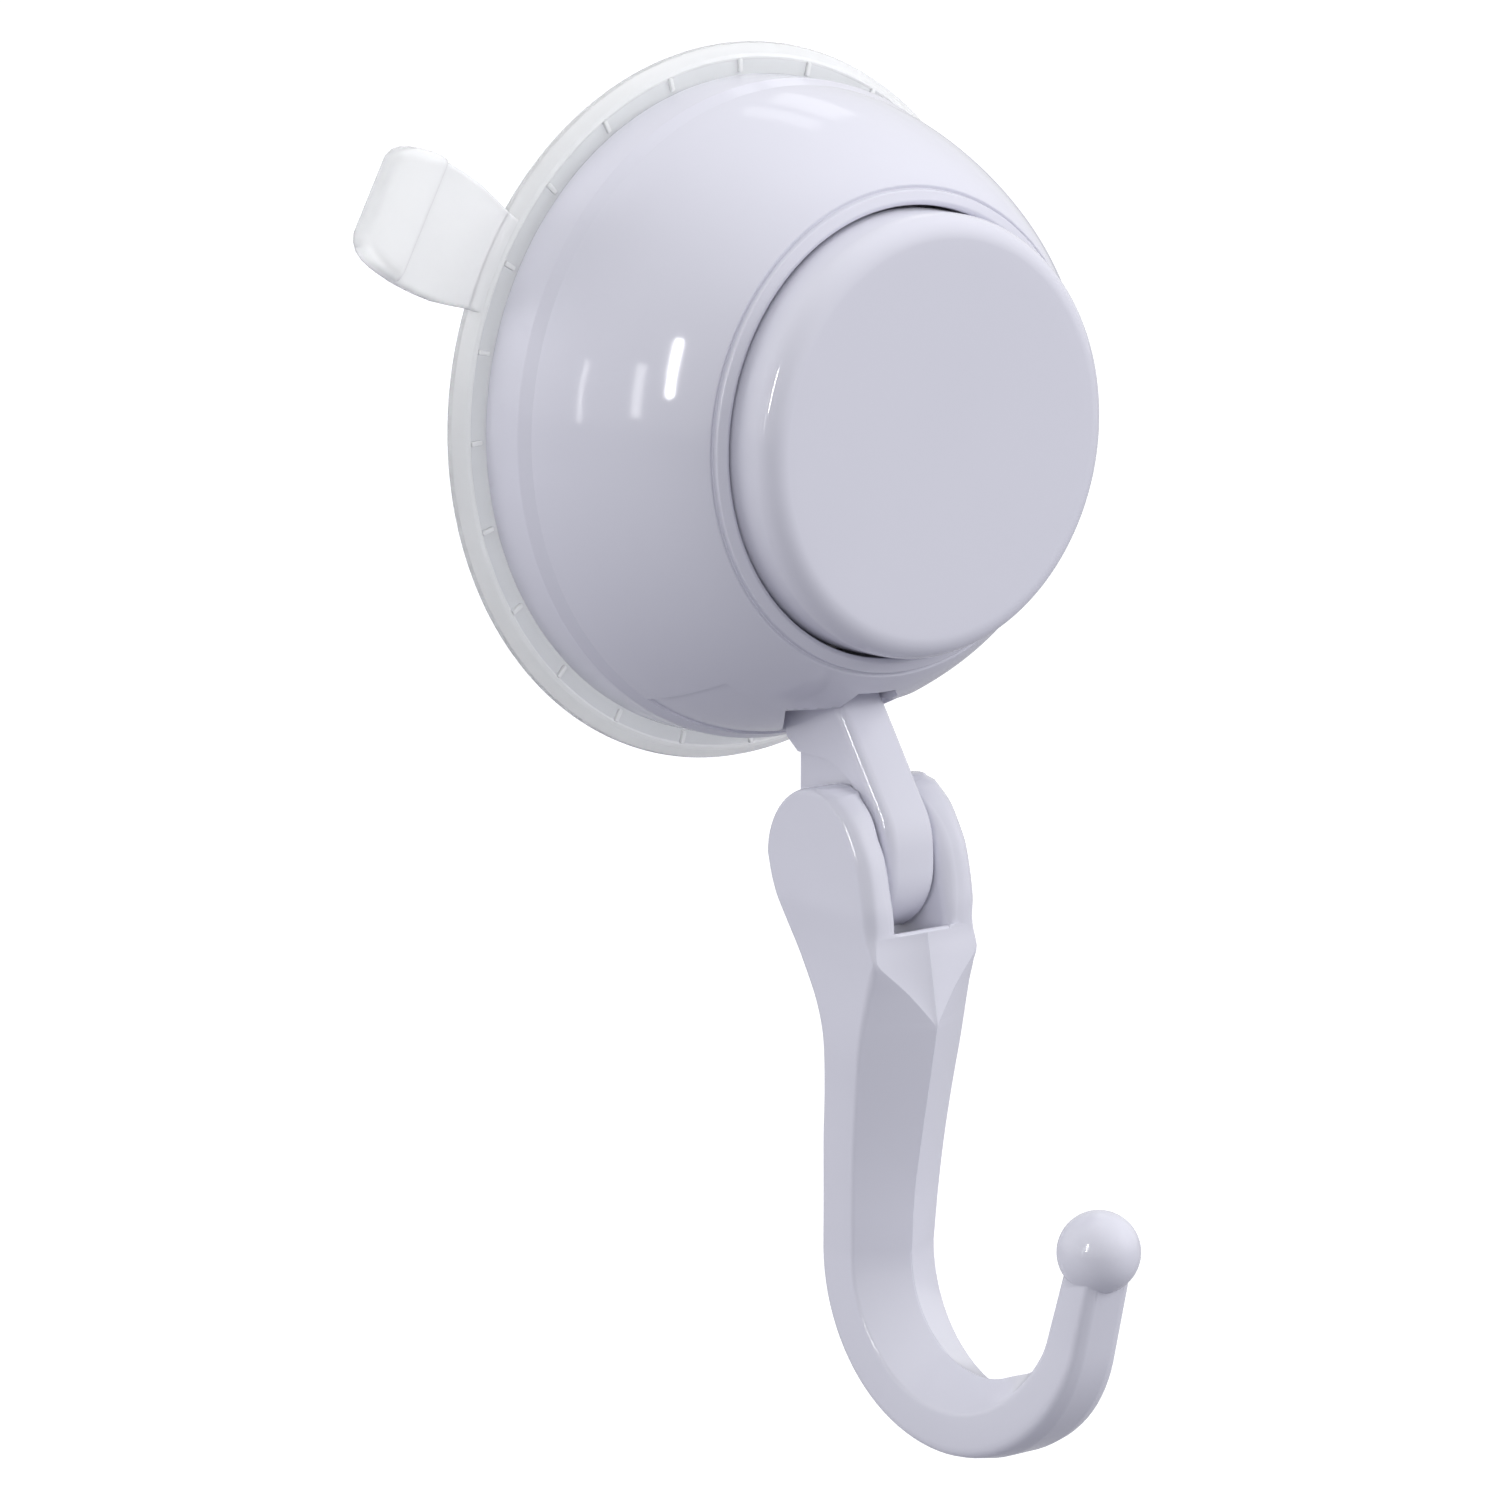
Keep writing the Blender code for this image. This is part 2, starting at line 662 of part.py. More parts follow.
def arm_outline():
    """(Y, Z) outline of the arm, from inside the frame round its rounded end and back."""
    inside_back = (-PLATE_FRONT - 0.0008, -ARM_ROOT_TOP - 0.0012)
    inside_front = (-FLOOR_BACK + 0.0012, -ARM_ROOT_TOP - 0.0012)
    inside_knee = (inside_front[0], -ARM_ROOT_TOP - 0.0025)
    exit_back = (-ARM_EXIT_BACK, ARM_EXIT_BACK_INSET - CUP_RADIUS)
    elbow = (exit_back[0] - 0.00145, exit_back[1] - 0.0025)
    exit_front = (-ARM_EXIT_FRONT, ARM_EXIT_FRONT_INSET - CUP_RADIUS)
    pivot = (PIVOT.y, PIVOT.z)
    back_point = (pivot[0] + ARM_END_RADIUS + 0.0003, pivot[1] + 0.0052)
    shoulder = (pivot[0] - 0.0047, pivot[1] + 0.0049)
    lean = Vector((shoulder[0] - exit_front[0], shoulder[1] - exit_front[1])).normalized() * 0.0018
    nose = (pivot[0] - ARM_END_RADIUS, pivot[1])
    points = [inside_back, exit_back, elbow, back_point]
    points += arc(pivot, ARM_END_RADIUS, 0, -math.pi, 14)
    points += bezier(
        nose,
        (nose[0], nose[1] + 0.0018),
        (shoulder[0] + lean.x, shoulder[1] + lean.y),
        shoulder,
        4,
    )[1:]
    points += [exit_front, inside_knee, inside_front]
    return points


def arm_recess(side):
    """Shallow pocket on one side of the arm's end, so that the fork runs clear of it."""
    pivot = (PIVOT.y, PIVOT.z)
    step_line = [
        (pivot[0] + 0.0090, pivot[1] + 0.0086),
        (pivot[0] + 0.0027, pivot[1] + 0.0084),
        (pivot[0] + 0.0008, pivot[1] + 0.0079),
        (pivot[0] - 0.0008, pivot[1] + 0.0068),
        (pivot[0] - 0.0080, pivot[1] + 0.0060),
    ]
    below = pivot[1] - 2 * ARM_END_RADIUS
    outline = step_line + [(step_line[-1][0], below), (step_line[0][0], below)]
    depth = 0.002
    recess = add_cutter("arm_recess", side_plate("arm_recess", outline, depth))
    recess.location.x = side * (ARM_END_THICKNESS + depth) / 2
    return recess


def make_base_frame(material):
    rim_inner = SPRING_RADIUS + SPRING_WIRE_RADIUS + FIT_GAP
    rim_outer = rim_inner + SPRING_RIM_WALL
    stud_hole = STUD_RADIUS + STUD_PLAY
    rim_front = TURRET_TOP + SPRING_RIM_HEIGHT
    profile = [
        (stud_hole, TURRET_TOP),
        (rim_inner, TURRET_TOP),
        (rim_inner, rim_front),
        (rim_outer, rim_front),
        (rim_outer + 0.0004, TURRET_TOP),
        (TURRET_OUTER, TURRET_TOP - 0.0002),
        (TURRET_OUTER, PLATE_FRONT),
        (FRAME_RADIUS, PLATE_FRONT),
        (FRAME_RADIUS, COVER_RIM + FIT_GAP),
        (SKIRT_INNER, COVER_RIM + FIT_GAP),
        (SKIRT_INNER, FRAME_BACK),
        (TURRET_INNER, FRAME_BACK),
        (TURRET_INNER, TURRET_UNDERSIDE),
        (stud_hole, TURRET_UNDERSIDE),
    ]
    frame = turned_part("base_frame", profile, material, 48)
    ribs = ring_of_boxes(
        "frame_ribs",
        FRAME_RIB_COUNT,
        FRAME_RIB_INNER,
        SKIRT_INNER + 0.0003,
        FRAME_RIB_THICKNESS,
        FRAME_BACK - FRAME_RIB_DEPTH,
        FRAME_BACK + 0.0004,
    )
    combine(frame, add_cutter("frame_ribs", ribs), "UNION")
    root = box_mesh(
        "arm_root",
        (-ARM_ROOT_HALF_WIDTH, -FLOOR_BACK + 0.0008, -ARM_ROOT_TOP - ARM_ROOT_DEPTH),
        (ARM_ROOT_HALF_WIDTH, -PLATE_FRONT + 0.0004, -ARM_ROOT_TOP),
    )
    combine(frame, add_cutter("arm_root", root), "UNION")
    arm = add_cutter("arm", side_plate("arm", arm_outline(), ARM_THICKNESS))
    for side in (-1, 1):
        combine(arm, arm_recess(side), "DIFFERENCE")
    half_length = ARM_END_THICKNESS / 2 + TRUNNION_LENGTH
    trunnions = add_cutter(
        "trunnions", crossways_cylinder("trunnions", TRUNNION_RADIUS, half_length, 20)
    )
    trunnions.location = PIVOT
    combine(arm, trunnions, "UNION")
    combine(frame, arm, "UNION")
    head_gap = SCREW_HEAD_RADIUS + FIT_GAP
    for number, angle in enumerate(BOSS_ANGLES, 1):
        hole = [
            (0, PLATE_FRONT + 0.001),
            (SCREW_RADIUS + SIDE_PLAY, PLATE_FRONT + 0.001),
            (SCREW_RADIUS + SIDE_PLAY, FRAME_BACK + SCREW_HEAD_HEIGHT),
            (head_gap, FRAME_BACK + SCREW_HEAD_HEIGHT),
            (head_gap, FRAME_BACK - 0.001),
            (0, FRAME_BACK - 0.001),
        ]
        cutter = turned_cutter(f"screw_hole_{number}", hole, 20)
        place_on_circle(cutter, angle, BOSS_CIRCLE)
        combine(frame, cutter, "DIFFERENCE")
    return frame


def make_cover_screws(material):
    """Pan-head screws, driven from behind through the frame into the cover's bosses."""
    head_front = FRAME_BACK + SCREW_HEAD_HEIGHT - FIT_GAP
    head_back = head_front - SCREW_HEAD_HEIGHT
    profile = [
        (0, head_front + SCREW_LENGTH),
        (0.0003, head_front + SCREW_LENGTH),
        (SCREW_RADIUS, head_front + SCREW_LENGTH - 0.0008),
        (SCREW_RADIUS, head_front),
        (SCREW_HEAD_RADIUS, head_front),
        (SCREW_HEAD_RADIUS, head_back + 0.0004),
        (SCREW_HEAD_RADIUS - 0.0006, head_back),
        (0, head_back),
    ]
    mesh = profile_mesh("cover_screw", profile)
    mesh.materials.append(material)
    for number, angle in enumerate(BOSS_ANGLES, 1):
        screw = bpy.data.objects.new(f"cover_screw_{number}", mesh)
        parts.objects.link(screw)
        turn(screw, 16)
        place_on_circle(screw, angle, BOSS_CIRCLE)


def dome_curve(steps):
    """(radius, height) of the outside of the dome, from its crease up to the bezel."""
    start = (CREASE_RADIUS, CREASE_HEIGHT)
    end = (DOME_TOP_RADIUS, DOME_TOP_HEIGHT)
    side = (
        CREASE_RADIUS - DOME_SIDE_HANDLE * math.sin(DOME_SIDE_LEAN),
        CREASE_HEIGHT + DOME_SIDE_HANDLE * math.cos(DOME_SIDE_LEAN),
    )
    top = (
        DOME_TOP_RADIUS + DOME_TOP_HANDLE * math.cos(DOME_TOP_SLOPE),
        DOME_TOP_HEIGHT - DOME_TOP_HANDLE * math.sin(DOME_TOP_SLOPE),
    )
    return bezier(start, side, top, end, steps)


def offset_inward(points, wall):
    """The curve WALL inside a line of points that turns in towards the axis as it rises."""
    moved = []
    for index, (radius, height) in enumerate(points):
        before = points[max(index - 1, 0)]
        after = points[min(index + 1, len(points) - 1)]
        direction = Vector((after[0] - before[0], after[1] - before[1])).normalized()
        moved.append((radius - wall * direction.y, height + wall * direction.x))
    return moved


def make_housing(material):
    outside = dome_curve(9)
    inside = offset_inward(outside, COVER_WALL)
    inside = [point for point in inside if point[0] > WELL_OUTER + 0.0004]
    crest_height = BEZEL_HEIGHT + BEZEL_CREST
    profile = [
        (WELL_RADIUS, BEZEL_HEIGHT),
        (WELL_RADIUS + 0.00025, BEZEL_HEIGHT + 0.0002),
        (BEZEL_CREST_RADIUS, crest_height),
        (BEZEL_GROOVE_RADIUS - 0.0003, crest_height - 0.00015),
        (BEZEL_GROOVE_RADIUS - 0.0001, DOME_TOP_HEIGHT),
        (BEZEL_GROOVE_RADIUS, DOME_TOP_HEIGHT - 0.00025),
    ]
    profile += reversed(outside)
    profile += [
        (RIM_RADIUS - 0.00003, COVER_RIM + 0.0006),
        (RIM_RADIUS, COVER_RIM + 0.0003),
        (RIM_RADIUS - 0.00023, COVER_RIM),
        (RIM_RADIUS - COVER_WALL, COVER_RIM),
    ]
    profile += inside
    profile += [
        (WELL_OUTER, inside[-1][1] + 0.0002),
        (WELL_OUTER, FLOOR_BACK),
        (SLEEVE_OUTER, FLOOR_BACK),
        (SLEEVE_OUTER, SLEEVE_BACK),
        (SLEEVE_INNER, SLEEVE_BACK),
        (SLEEVE_INNER, FLOOR_FRONT),
        (WELL_RADIUS, FLOOR_FRONT),
    ]
    housing = turned_part("housing", profile, material)
    for number, angle in enumerate(BOSS_ANGLES, 1):
        boss_profile = [
            (0, BOSS_FRONT),
            (BOSS_RADIUS, BOSS_FRONT),
            (BOSS_RADIUS, BOSS_BACK),
            (0, BOSS_BACK),
        ]
        boss = turned_cutter(f"screw_boss_{number}", boss_profile, 20)
        place_on_circle(boss, angle, BOSS_CIRCLE)
        combine(housing, boss, "UNION")
        bore_profile = [
            (0, BOSS_FRONT - 0.0015),
            (BOSS_BORE, BOSS_FRONT - 0.0015),
            (BOSS_BORE, BOSS_BACK - 0.001),
            (0, BOSS_BACK - 0.001),
        ]
        bore = turned_cutter(f"boss_bore_{number}", bore_profile, 12)
        place_on_circle(bore, angle, BOSS_CIRCLE)
        combine(housing, bore, "DIFFERENCE")
    hole_half_width = ARM_THICKNESS / 2 + SIDE_PLAY
    hole = box_mesh(
        "arm_hole",
        (-hole_half_width, -ARM_HOLE_FRONT, -RIM_RADIUS - 0.003),
        (hole_half_width, -ARM_HOLE_BACK, -WELL_OUTER - ARM_HOLE_ABOVE_WELL),
    )
    combine(housing, add_cutter("arm_hole", hole), "DIFFERENCE")
    # The hole is wider behind, so that the trunnions pass when the arm is fed through it.
    relief = box_mesh(
        "arm_relief",
        (-ARM_RELIEF_HALF_WIDTH, -ARM_RELIEF_FRONT, -RIM_RADIUS - 0.004),
        (ARM_RELIEF_HALF_WIDTH, -ARM_HOLE_BACK - 0.0002, ARM_RELIEF_INSET - CUP_RADIUS),
    )
    combine(housing, add_cutter("arm_relief", relief), "DIFFERENCE")
    return housing


def make_push_button(material):
    """Button with an outer skirt, a guide tube with snap claws and a socket over the nut."""
    skirt_inner = BUTTON_RADIUS - BUTTON_SKIRT_WALL
    guide_inner = GUIDE_RADIUS - GUIDE_WALL
    socket_inner = NUT_ACROSS_FLATS / math.sqrt(3) + SOCKET_PLAY
    socket_outer = socket_inner + SOCKET_WALL
    socket_back = RETAINER_FRONT + FIT_GAP
    edge = arc(
        (BUTTON_RADIUS - 0.0001 - BUTTON_EDGE_ROUND, BUTTON_TOP - BUTTON_EDGE_ROUND),
        BUTTON_EDGE_ROUND,
        math.radians(90),
        0,
        6,
    )
    profile = [(0, BUTTON_TOP)] + edge
    profile += [
        (BUTTON_RADIUS, BUTTON_SKIRT_BACK),
        (skirt_inner, BUTTON_SKIRT_BACK),
        (skirt_inner, BUTTON_INSIDE),
        (GUIDE_RADIUS, BUTTON_INSIDE),
        (GUIDE_RADIUS, CLAW_FRONT),
        (GUIDE_RADIUS + CLAW_REACH, CLAW_FRONT),
        (GUIDE_RADIUS + CLAW_REACH, CLAW_FRONT - 0.0006),
        (GUIDE_RADIUS, GUIDE_BACK),
        (guide_inner, GUIDE_BACK),
        (guide_inner, BUTTON_INSIDE),
        (socket_outer, BUTTON_INSIDE),
        (socket_outer, socket_back),
        (socket_inner, socket_back),
        (socket_inner, BUTTON_INSIDE),
        (0, BUTTON_INSIDE),
    ]
    button = turned_part("push_button", profile, material)
    slits = ring_of_boxes(
        "claw_slits",
        3,
        guide_inner - 0.002,
        GUIDE_RADIUS + CLAW_REACH + 0.001,
        CLAW_SLIT,
        GUIDE_BACK - 0.001,
        CLAW_FRONT + 0.0040,
    )
    combine(button, add_cutter("claw_slits", slits), "DIFFERENCE")
    return button


def hook_ring(front, side, half_width, flat_half_width, crown, outward, middle):
    """Eight-sided section of the hook.

    FRONT, SIDE and CROWN are distances along OUTWARD from MIDDLE, in the plane X = 0: of the
    ridge, of the two edges of the flat side, and of the rounded back.
    """
    near_side, far_side = side
    crown_half = min(BACK_CROWN_HALF_WIDTH, half_width - 0.0004)
    corners = (
        (flat_half_width, front),
        (half_width, near_side),
        (half_width, far_side),
        (crown_half, crown),
    )
    mirrored = [(-x, reach) for x, reach in reversed(corners)]
    return [middle + outward * reach + Vector((x, 0, 0)) for x, reach in list(corners) + mirrored]


def ear_back(drop):
    """Distance in front of the pivot of the rounded back of the fork's ears."""
    centre_drop, centre_back = HOOK_BACK_LINE[0][0], HOOK_BACK_LINE[0][1] + EAR_RADIUS
    return centre_back - math.sqrt(max(EAR_RADIUS**2 - (drop - centre_drop) ** 2, 0))


def shank_rings():
    """Level sections of the hook, from the top of the fork to the start of the bend."""
    rings = []
    ear_top = HOOK_BACK_LINE[0][0] - EAR_RADIUS
    tops = (ear_top + 0.00004, ear_top + 0.0004)
    for drop in tops + HOOK_STATIONS:
        back = along(HOOK_BACK_LINE, drop)
        front = along(HOOK_FRONT_LINE, drop)
        near = along(HOOK_SIDE_LINE, drop)
        flat = along(HOOK_FLAT_LINE, drop)
        if drop < HOOK_BACK_LINE[0][0]:
            back = ear_back(drop)
        if drop < HOOK_FRONT_LINE[0][0]:
            front = near = min(near, -back)
        half_width = HOOK_HALF_WIDTH - along(HOOK_TAPER_LINE, drop)
        crown_start = HOOK_BACK_LINE[2][0]
        crown = back - BACK_CROWN * min(max((drop - crown_start) / 0.008, 0), 1)
        level = Vector((0, 0, -drop))
        rings.append(
            hook_ring(front, (near, back), half_width, flat, crown, Vector((0, -1, 0)), level)
        )
    return rings


def bend_rings():
    """Sections of the hook round its bend and up its leaning tip."""
    centre = Vector((0, -BEND_FORWARD, -BEND_DROP))
    start_half_width = HOOK_HALF_WIDTH - HOOK_TAPER_LINE[-1][1]
    start_thickness = HOOK_SIDE_LINE[-1][1] - HOOK_BACK_LINE[-1][1]
    start_ridge = HOOK_FRONT_LINE[-1][1] - HOOK_SIDE_LINE[-1][1]
    end_angle = math.pi - TIP_LEAN
    rings = []
    for step in range(BEND_STEPS + 1):
        angle = end_angle * step / BEND_STEPS
        share = step / BEND_STEPS
        outward = Vector((0, math.cos(angle), -math.sin(angle)))
        thickness = start_thickness - (start_thickness - TIP_THICKNESS - 0.0006) * share
        ridge = start_ridge * max(1 - (angle / RIDGE_FADE_ANGLE) ** 2, 0) + 0.0002
        narrowing = share**2.2
        half_width = start_half_width - (start_half_width - BEND_END_HALF_WIDTH) * narrowing
        outer = BEND_RADIUS + thickness
        flat = HOOK_FLAT_LINE[-1][1] + 0.0010 * share
        rings.append(
            hook_ring(
                BEND_RADIUS - ridge,
                (BEND_RADIUS, outer),
                half_width,
                flat,
                outer + BACK_CROWN,
                outward,
                centre,
            )
        )
    outward = Vector((0, -math.cos(TIP_LEAN), -math.sin(TIP_LEAN)))
    upward = Vector((0, -math.sin(TIP_LEAN), math.cos(TIP_LEAN)))
    inner = BEND_RADIUS + 0.0003
    outer = inner + TIP_THICKNESS
    middle = centre + upward * TIP_LENGTH
    rings.append(
        hook_ring(
            inner - 0.0003,
            (inner, outer),
            TIP_HALF_WIDTH,
            HOOK_FLAT_LINE[-1][1] + 0.0012,
            outer + 0.0006,
            outward,
            middle,
        )
    )
    ball_centre = middle + outward * (inner + outer) / 2
    return rings, ball_centre


def ball_mesh():
    mesh = bpy.data.meshes.new("tip_ball")
    shape = bmesh.new()
    bmesh.ops.create_uvsphere(shape, u_segments=20, v_segments=12, radius=BALL_RADIUS)
    shape.to_mesh(mesh)
    shape.free()
    return mesh


def make_hook(material):
    """Hook with a forked head, a faceted shank, a bend and a ball tip. Its origin is the pivot."""
    bend, ball_centre = bend_rings()
    hook = add_part("hook", loft("hook", shank_rings() + bend), material)
    hook.location = PIVOT
    ball = add_cutter("tip_ball", ball_mesh())
    ball.location = PIVOT + ball_centre
    combine(hook, ball, "UNION")
    slot_height = 4 * EAR_RADIUS
    slot = box_mesh(
        "fork_slot",
        (-SLOT_WIDTH / 2, -3 * EAR_RADIUS, -SLOT_FLOOR_RADIUS),
        (SLOT_WIDTH / 2, 3 * EAR_RADIUS, slot_height),
    )
    slot_cutter = add_cutter("fork_slot", slot)
    slot_cutter.location = PIVOT
    slot_cutter.rotation_euler = (-SLOT_FLOOR_SLOPE, 0, 0)
    combine(hook, slot_cutter, "DIFFERENCE")
    socket_radius = TRUNNION_RADIUS + FIT_GAP
    socket_reach = ARM_END_THICKNESS / 2 + TRUNNION_LENGTH + FIT_GAP
    sockets = crossways_cylinder("hinge_sockets", socket_radius, socket_reach, 20)
    socket_cutter = add_cutter("hinge_sockets", sockets)
    socket_cutter.location = PIVOT
    combine(hook, socket_cutter, "DIFFERENCE")
    soften(hook, 20)
    return hook


clear_scene()
parts = new_collection("suction_cup_hook", False)
cutters = new_collection("cutters", True)

housing_plastic = new_material("housing_plastic", WHITE_PLASTIC, 0.18, 0.0)
button_plastic = new_material("button_plastic", WHITE_PLASTIC, 0.18, 0.0)
frame_plastic = new_material("frame_plastic", WHITE_PLASTIC, 0.22, 0.0)
hook_plastic = new_material("hook_plastic", WHITE_PLASTIC, 0.18, 0.0)
cup_pvc = new_material("cup_pvc", CLEAR_PVC, 0.25, 0.0)
stud_steel = new_material("stud_steel", STEEL, 0.30, 1.0)
spring_steel = new_material("spring_steel", STEEL, 0.35, 1.0)
screw_steel = new_material("screw_steel", STEEL, 0.32, 1.0)

make_suction_cup(cup_pvc)
make_pull_stud(stud_steel)
make_base_frame(frame_plastic)
make_cover_screws(screw_steel)
make_return_spring(spring_steel)
make_spring_retainer(stud_steel)
make_stud_nut(stud_steel)
make_housing(housing_plastic)
make_push_button(button_plastic)
make_hook(hook_plastic)
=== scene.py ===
import math

import bmesh
import bpy
from mathutils import Matrix, Vector


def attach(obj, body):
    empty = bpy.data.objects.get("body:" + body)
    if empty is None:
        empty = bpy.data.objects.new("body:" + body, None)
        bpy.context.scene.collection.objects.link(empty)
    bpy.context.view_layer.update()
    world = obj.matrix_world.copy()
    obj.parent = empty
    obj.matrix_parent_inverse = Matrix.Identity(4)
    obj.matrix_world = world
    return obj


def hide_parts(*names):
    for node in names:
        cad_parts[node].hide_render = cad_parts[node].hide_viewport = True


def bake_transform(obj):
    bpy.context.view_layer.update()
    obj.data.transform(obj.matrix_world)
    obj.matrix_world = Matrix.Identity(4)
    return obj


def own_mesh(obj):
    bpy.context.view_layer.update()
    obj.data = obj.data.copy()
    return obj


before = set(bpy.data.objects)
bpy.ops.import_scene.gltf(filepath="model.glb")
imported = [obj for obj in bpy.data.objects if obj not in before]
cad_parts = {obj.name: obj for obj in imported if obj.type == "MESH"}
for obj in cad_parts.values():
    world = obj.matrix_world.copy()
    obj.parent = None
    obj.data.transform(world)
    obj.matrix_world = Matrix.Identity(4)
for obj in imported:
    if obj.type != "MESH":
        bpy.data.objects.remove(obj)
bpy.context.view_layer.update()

scene = bpy.context.scene
collection = bpy.data.collections.new("dressing")
scene.collection.children.link(collection)

# The wall is the plane Y = 0, and "height" is the distance from it, towards -Y.
# Lengths in the settings, and those that the helpers take, are in millimetres.
mm = 0.001

print("stage: helpers")


def filletLine(corners, steps=5):
    # Corners are (across, along, radius). Each corner becomes a short arc.
    points = []
    count = len(corners)
    for index, (x, y, radius) in enumerate(corners):
        corner = Vector((x, y))
        before = Vector(corners[index - 1][:2]) - corner
        after = Vector(corners[(index + 1) % count][:2]) - corner
        if radius <= 0 or before.length < 1e-9 or after.length < 1e-9:
            points.append((x, y))
            continue
        turn = before.angle(after)
        reach = radius / max(math.tan(turn / 2), 1e-6)
        reach = min(reach, before.length * 0.48, after.length * 0.48)
        start = corner + before.normalized() * reach
        end = corner + after.normalized() * reach
        for step in range(steps + 1):
            t = step / steps
            point = start * (1 - t) ** 2 + corner * 2 * t * (1 - t) + end * t**2
            points.append((point.x, point.y))
    return points


def bezierLine(first, handleA, handleB, last, steps):
    points = []
    for step in range(steps + 1):
        t = step / steps
        s = 1 - t
        weights = (s**3, 3 * s * s * t, 3 * s * t * t, t**3)
        corners = (first, handleA, handleB, last)
        points.append(tuple(sum(w * c[axis] for w, c in zip(weights, corners)) for axis in (0, 1)))
    return points


def arcLine(centre, radius, start, end, steps):
    points = []
    for step in range(steps + 1):
        angle = start + (end - start) * step / steps
        points.append((centre[0] + radius * math.cos(angle), centre[1] + radius * math.sin(angle)))
    return points


def smoothAlong(line, position):
    # A cubic through the (position, value) points of a line.
    if position <= line[0][0]:
        return line[0][1]
    slopes = []
    for index in range(len(line)):
        low = line[max(index - 1, 0)]
        high = line[min(index + 1, len(line) - 1)]
        slopes.append((high[1] - low[1]) / (high[0] - low[0]))
    for index in range(len(line) - 1):
        start, end = line[index], line[index + 1]
        if position <= end[0]:
            span = end[0] - start[0]
            t = (position - start[0]) / span
            a = 2 * t**3 - 3 * t**2 + 1
            b = t**3 - 2 * t**2 + t
            c = -2 * t**3 + 3 * t**2
            d = t**3 - t**2
            return a * start[1] + b * span * slopes[index] + c * end[1] + d * span * slopes[index + 1]
    return line[-1][1]


def straightAlong(line, position):
    if position <= line[0][0]:
        return line[0][1]
    for start, end in zip(line, line[1:]):
        if position <= end[0]:
            return start[1] + (end[1] - start[1]) * (position - start[0]) / (end[0] - start[0])
    return line[-1][1]


def turnedMesh(name, profile, steps, closed=True):
    # Turns (radius, height) points about the cup's axis. Points on the axis become one vertex.
    shape = bmesh.new()
    rings = []
    for radius, height in profile:
        radius, height = radius * mm, height * mm
        if radius < 1e-7:
            rings.append([shape.verts.new((0, -height, 0))])
            continue
        ring = []
        for step in range(steps):
            angle = 2 * math.pi * step / steps
            ring.append(shape.verts.new((radius * math.cos(angle), -height, radius * math.sin(angle))))
        rings.append(ring)
    pairs = list(zip(rings, rings[1:]))
    if closed:
        pairs.append((rings[-1], rings[0]))
    for ring, following in pairs:
        for step in range(steps):
            after = (step + 1) % steps
            if len(ring) == 1:
                shape.faces.new((ring[0], following[after], following[step]))
            elif len(following) == 1:
                shape.faces.new((ring[step], ring[after], following[0]))
            else:
                shape.faces.new((ring[step], ring[after], following[after], following[step]))
    bmesh.ops.recalc_face_normals(shape, faces=shape.faces)
    return finishMesh(name, shape)


def finishMesh(name, shape):
    mesh = bpy.data.meshes.new(name)
    shape.to_mesh(mesh)
    shape.free()
    mesh.shade_smooth()
    return mesh


def loftMesh(name, rings):
    # A closed skin through rings of points, which are in metres.
    shape = bmesh.new()
    rows = [[shape.verts.new(point) for point in ring] for ring in rings]
    for row, following in zip(rows, rows[1:]):
        for index in range(len(row)):
            after = (index + 1) % len(row)
            shape.faces.new((row[index], row[after], following[after], following[index]))
    shape.faces.new(rows[0])
    shape.faces.new(rows[-1])
    bmesh.ops.recalc_face_normals(shape, faces=shape.faces)
    return finishMesh(name, shape)


def plateMesh(name, outline, halfWidth):
    # A plate from (Y, Z) points, with its middle on X = 0.
    return loftMesh(name, [[(x * mm, y * mm, z * mm) for y, z in outline] for x in (-halfWidth, halfWidth)])


def prismMesh(name, outline, bottom, top):
    # A straight piece along Z, from (X, height) points.
    return loftMesh(name, [[Vector((x, -height, z)) * mm for x, height in outline] for z in (bottom, top)])


def boxMesh(name, low, high):
    low, high = (Vector([value * mm for value in corner]) for corner in (low, high))
    shape = bmesh.new()
    bmesh.ops.create_cube(shape, size=1)
    bmesh.ops.scale(shape, vec=high - low, verts=shape.verts)
    bmesh.ops.translate(shape, vec=(high + low) / 2, verts=shape.verts)
    return finishMesh(name, shape)


def barMesh(name, radius, halfLength, centre):
    # A round bar along X.
    shape = bmesh.new()
    turn = Matrix.Translation(centre * mm) @ Matrix.Rotation(math.radians(90), 4, "Y")
    bmesh.ops.create_cone(
        shape, cap_ends=True, segments=48, radius1=radius * mm, radius2=radius * mm,
        depth=2 * halfLength * mm, matrix=turn,
    )
    return finishMesh(name, shape)


def spinMesh(mesh, degrees):
    # Turns a mesh about the cup's axis.
    mesh.transform(Matrix.Rotation(math.radians(degrees), 4, "Y"))
    return mesh


def newObject(name, data):
    made = bpy.data.objects.new(name, data)
    collection.objects.link(made)
    return made


def evaluatedMesh(work):
    # The mesh that the object's modifiers give. The object itself is removed.
    bpy.context.view_layer.update()
    graph = bpy.context.evaluated_depsgraph_get()
    result = bpy.data.meshes.new_from_object(work.evaluated_get(graph))
    bpy.data.objects.remove(work)
    return result


def cutMesh(mesh, tools, operation="DIFFERENCE"):
    # Cuts the tool meshes from a mesh, or joins them to it.
    work = newObject("work", mesh)
    helpers = []
    for tool in tools:
        helper = newObject("tool", tool)
        helpers.append(helper)
        modifier = work.modifiers.new("cut", "BOOLEAN")
        modifier.object = helper
        modifier.operation = operation
        modifier.solver = "EXACT"
    result = evaluatedMesh(work)
    for helper in helpers:
        bpy.data.objects.remove(helper)
    return result


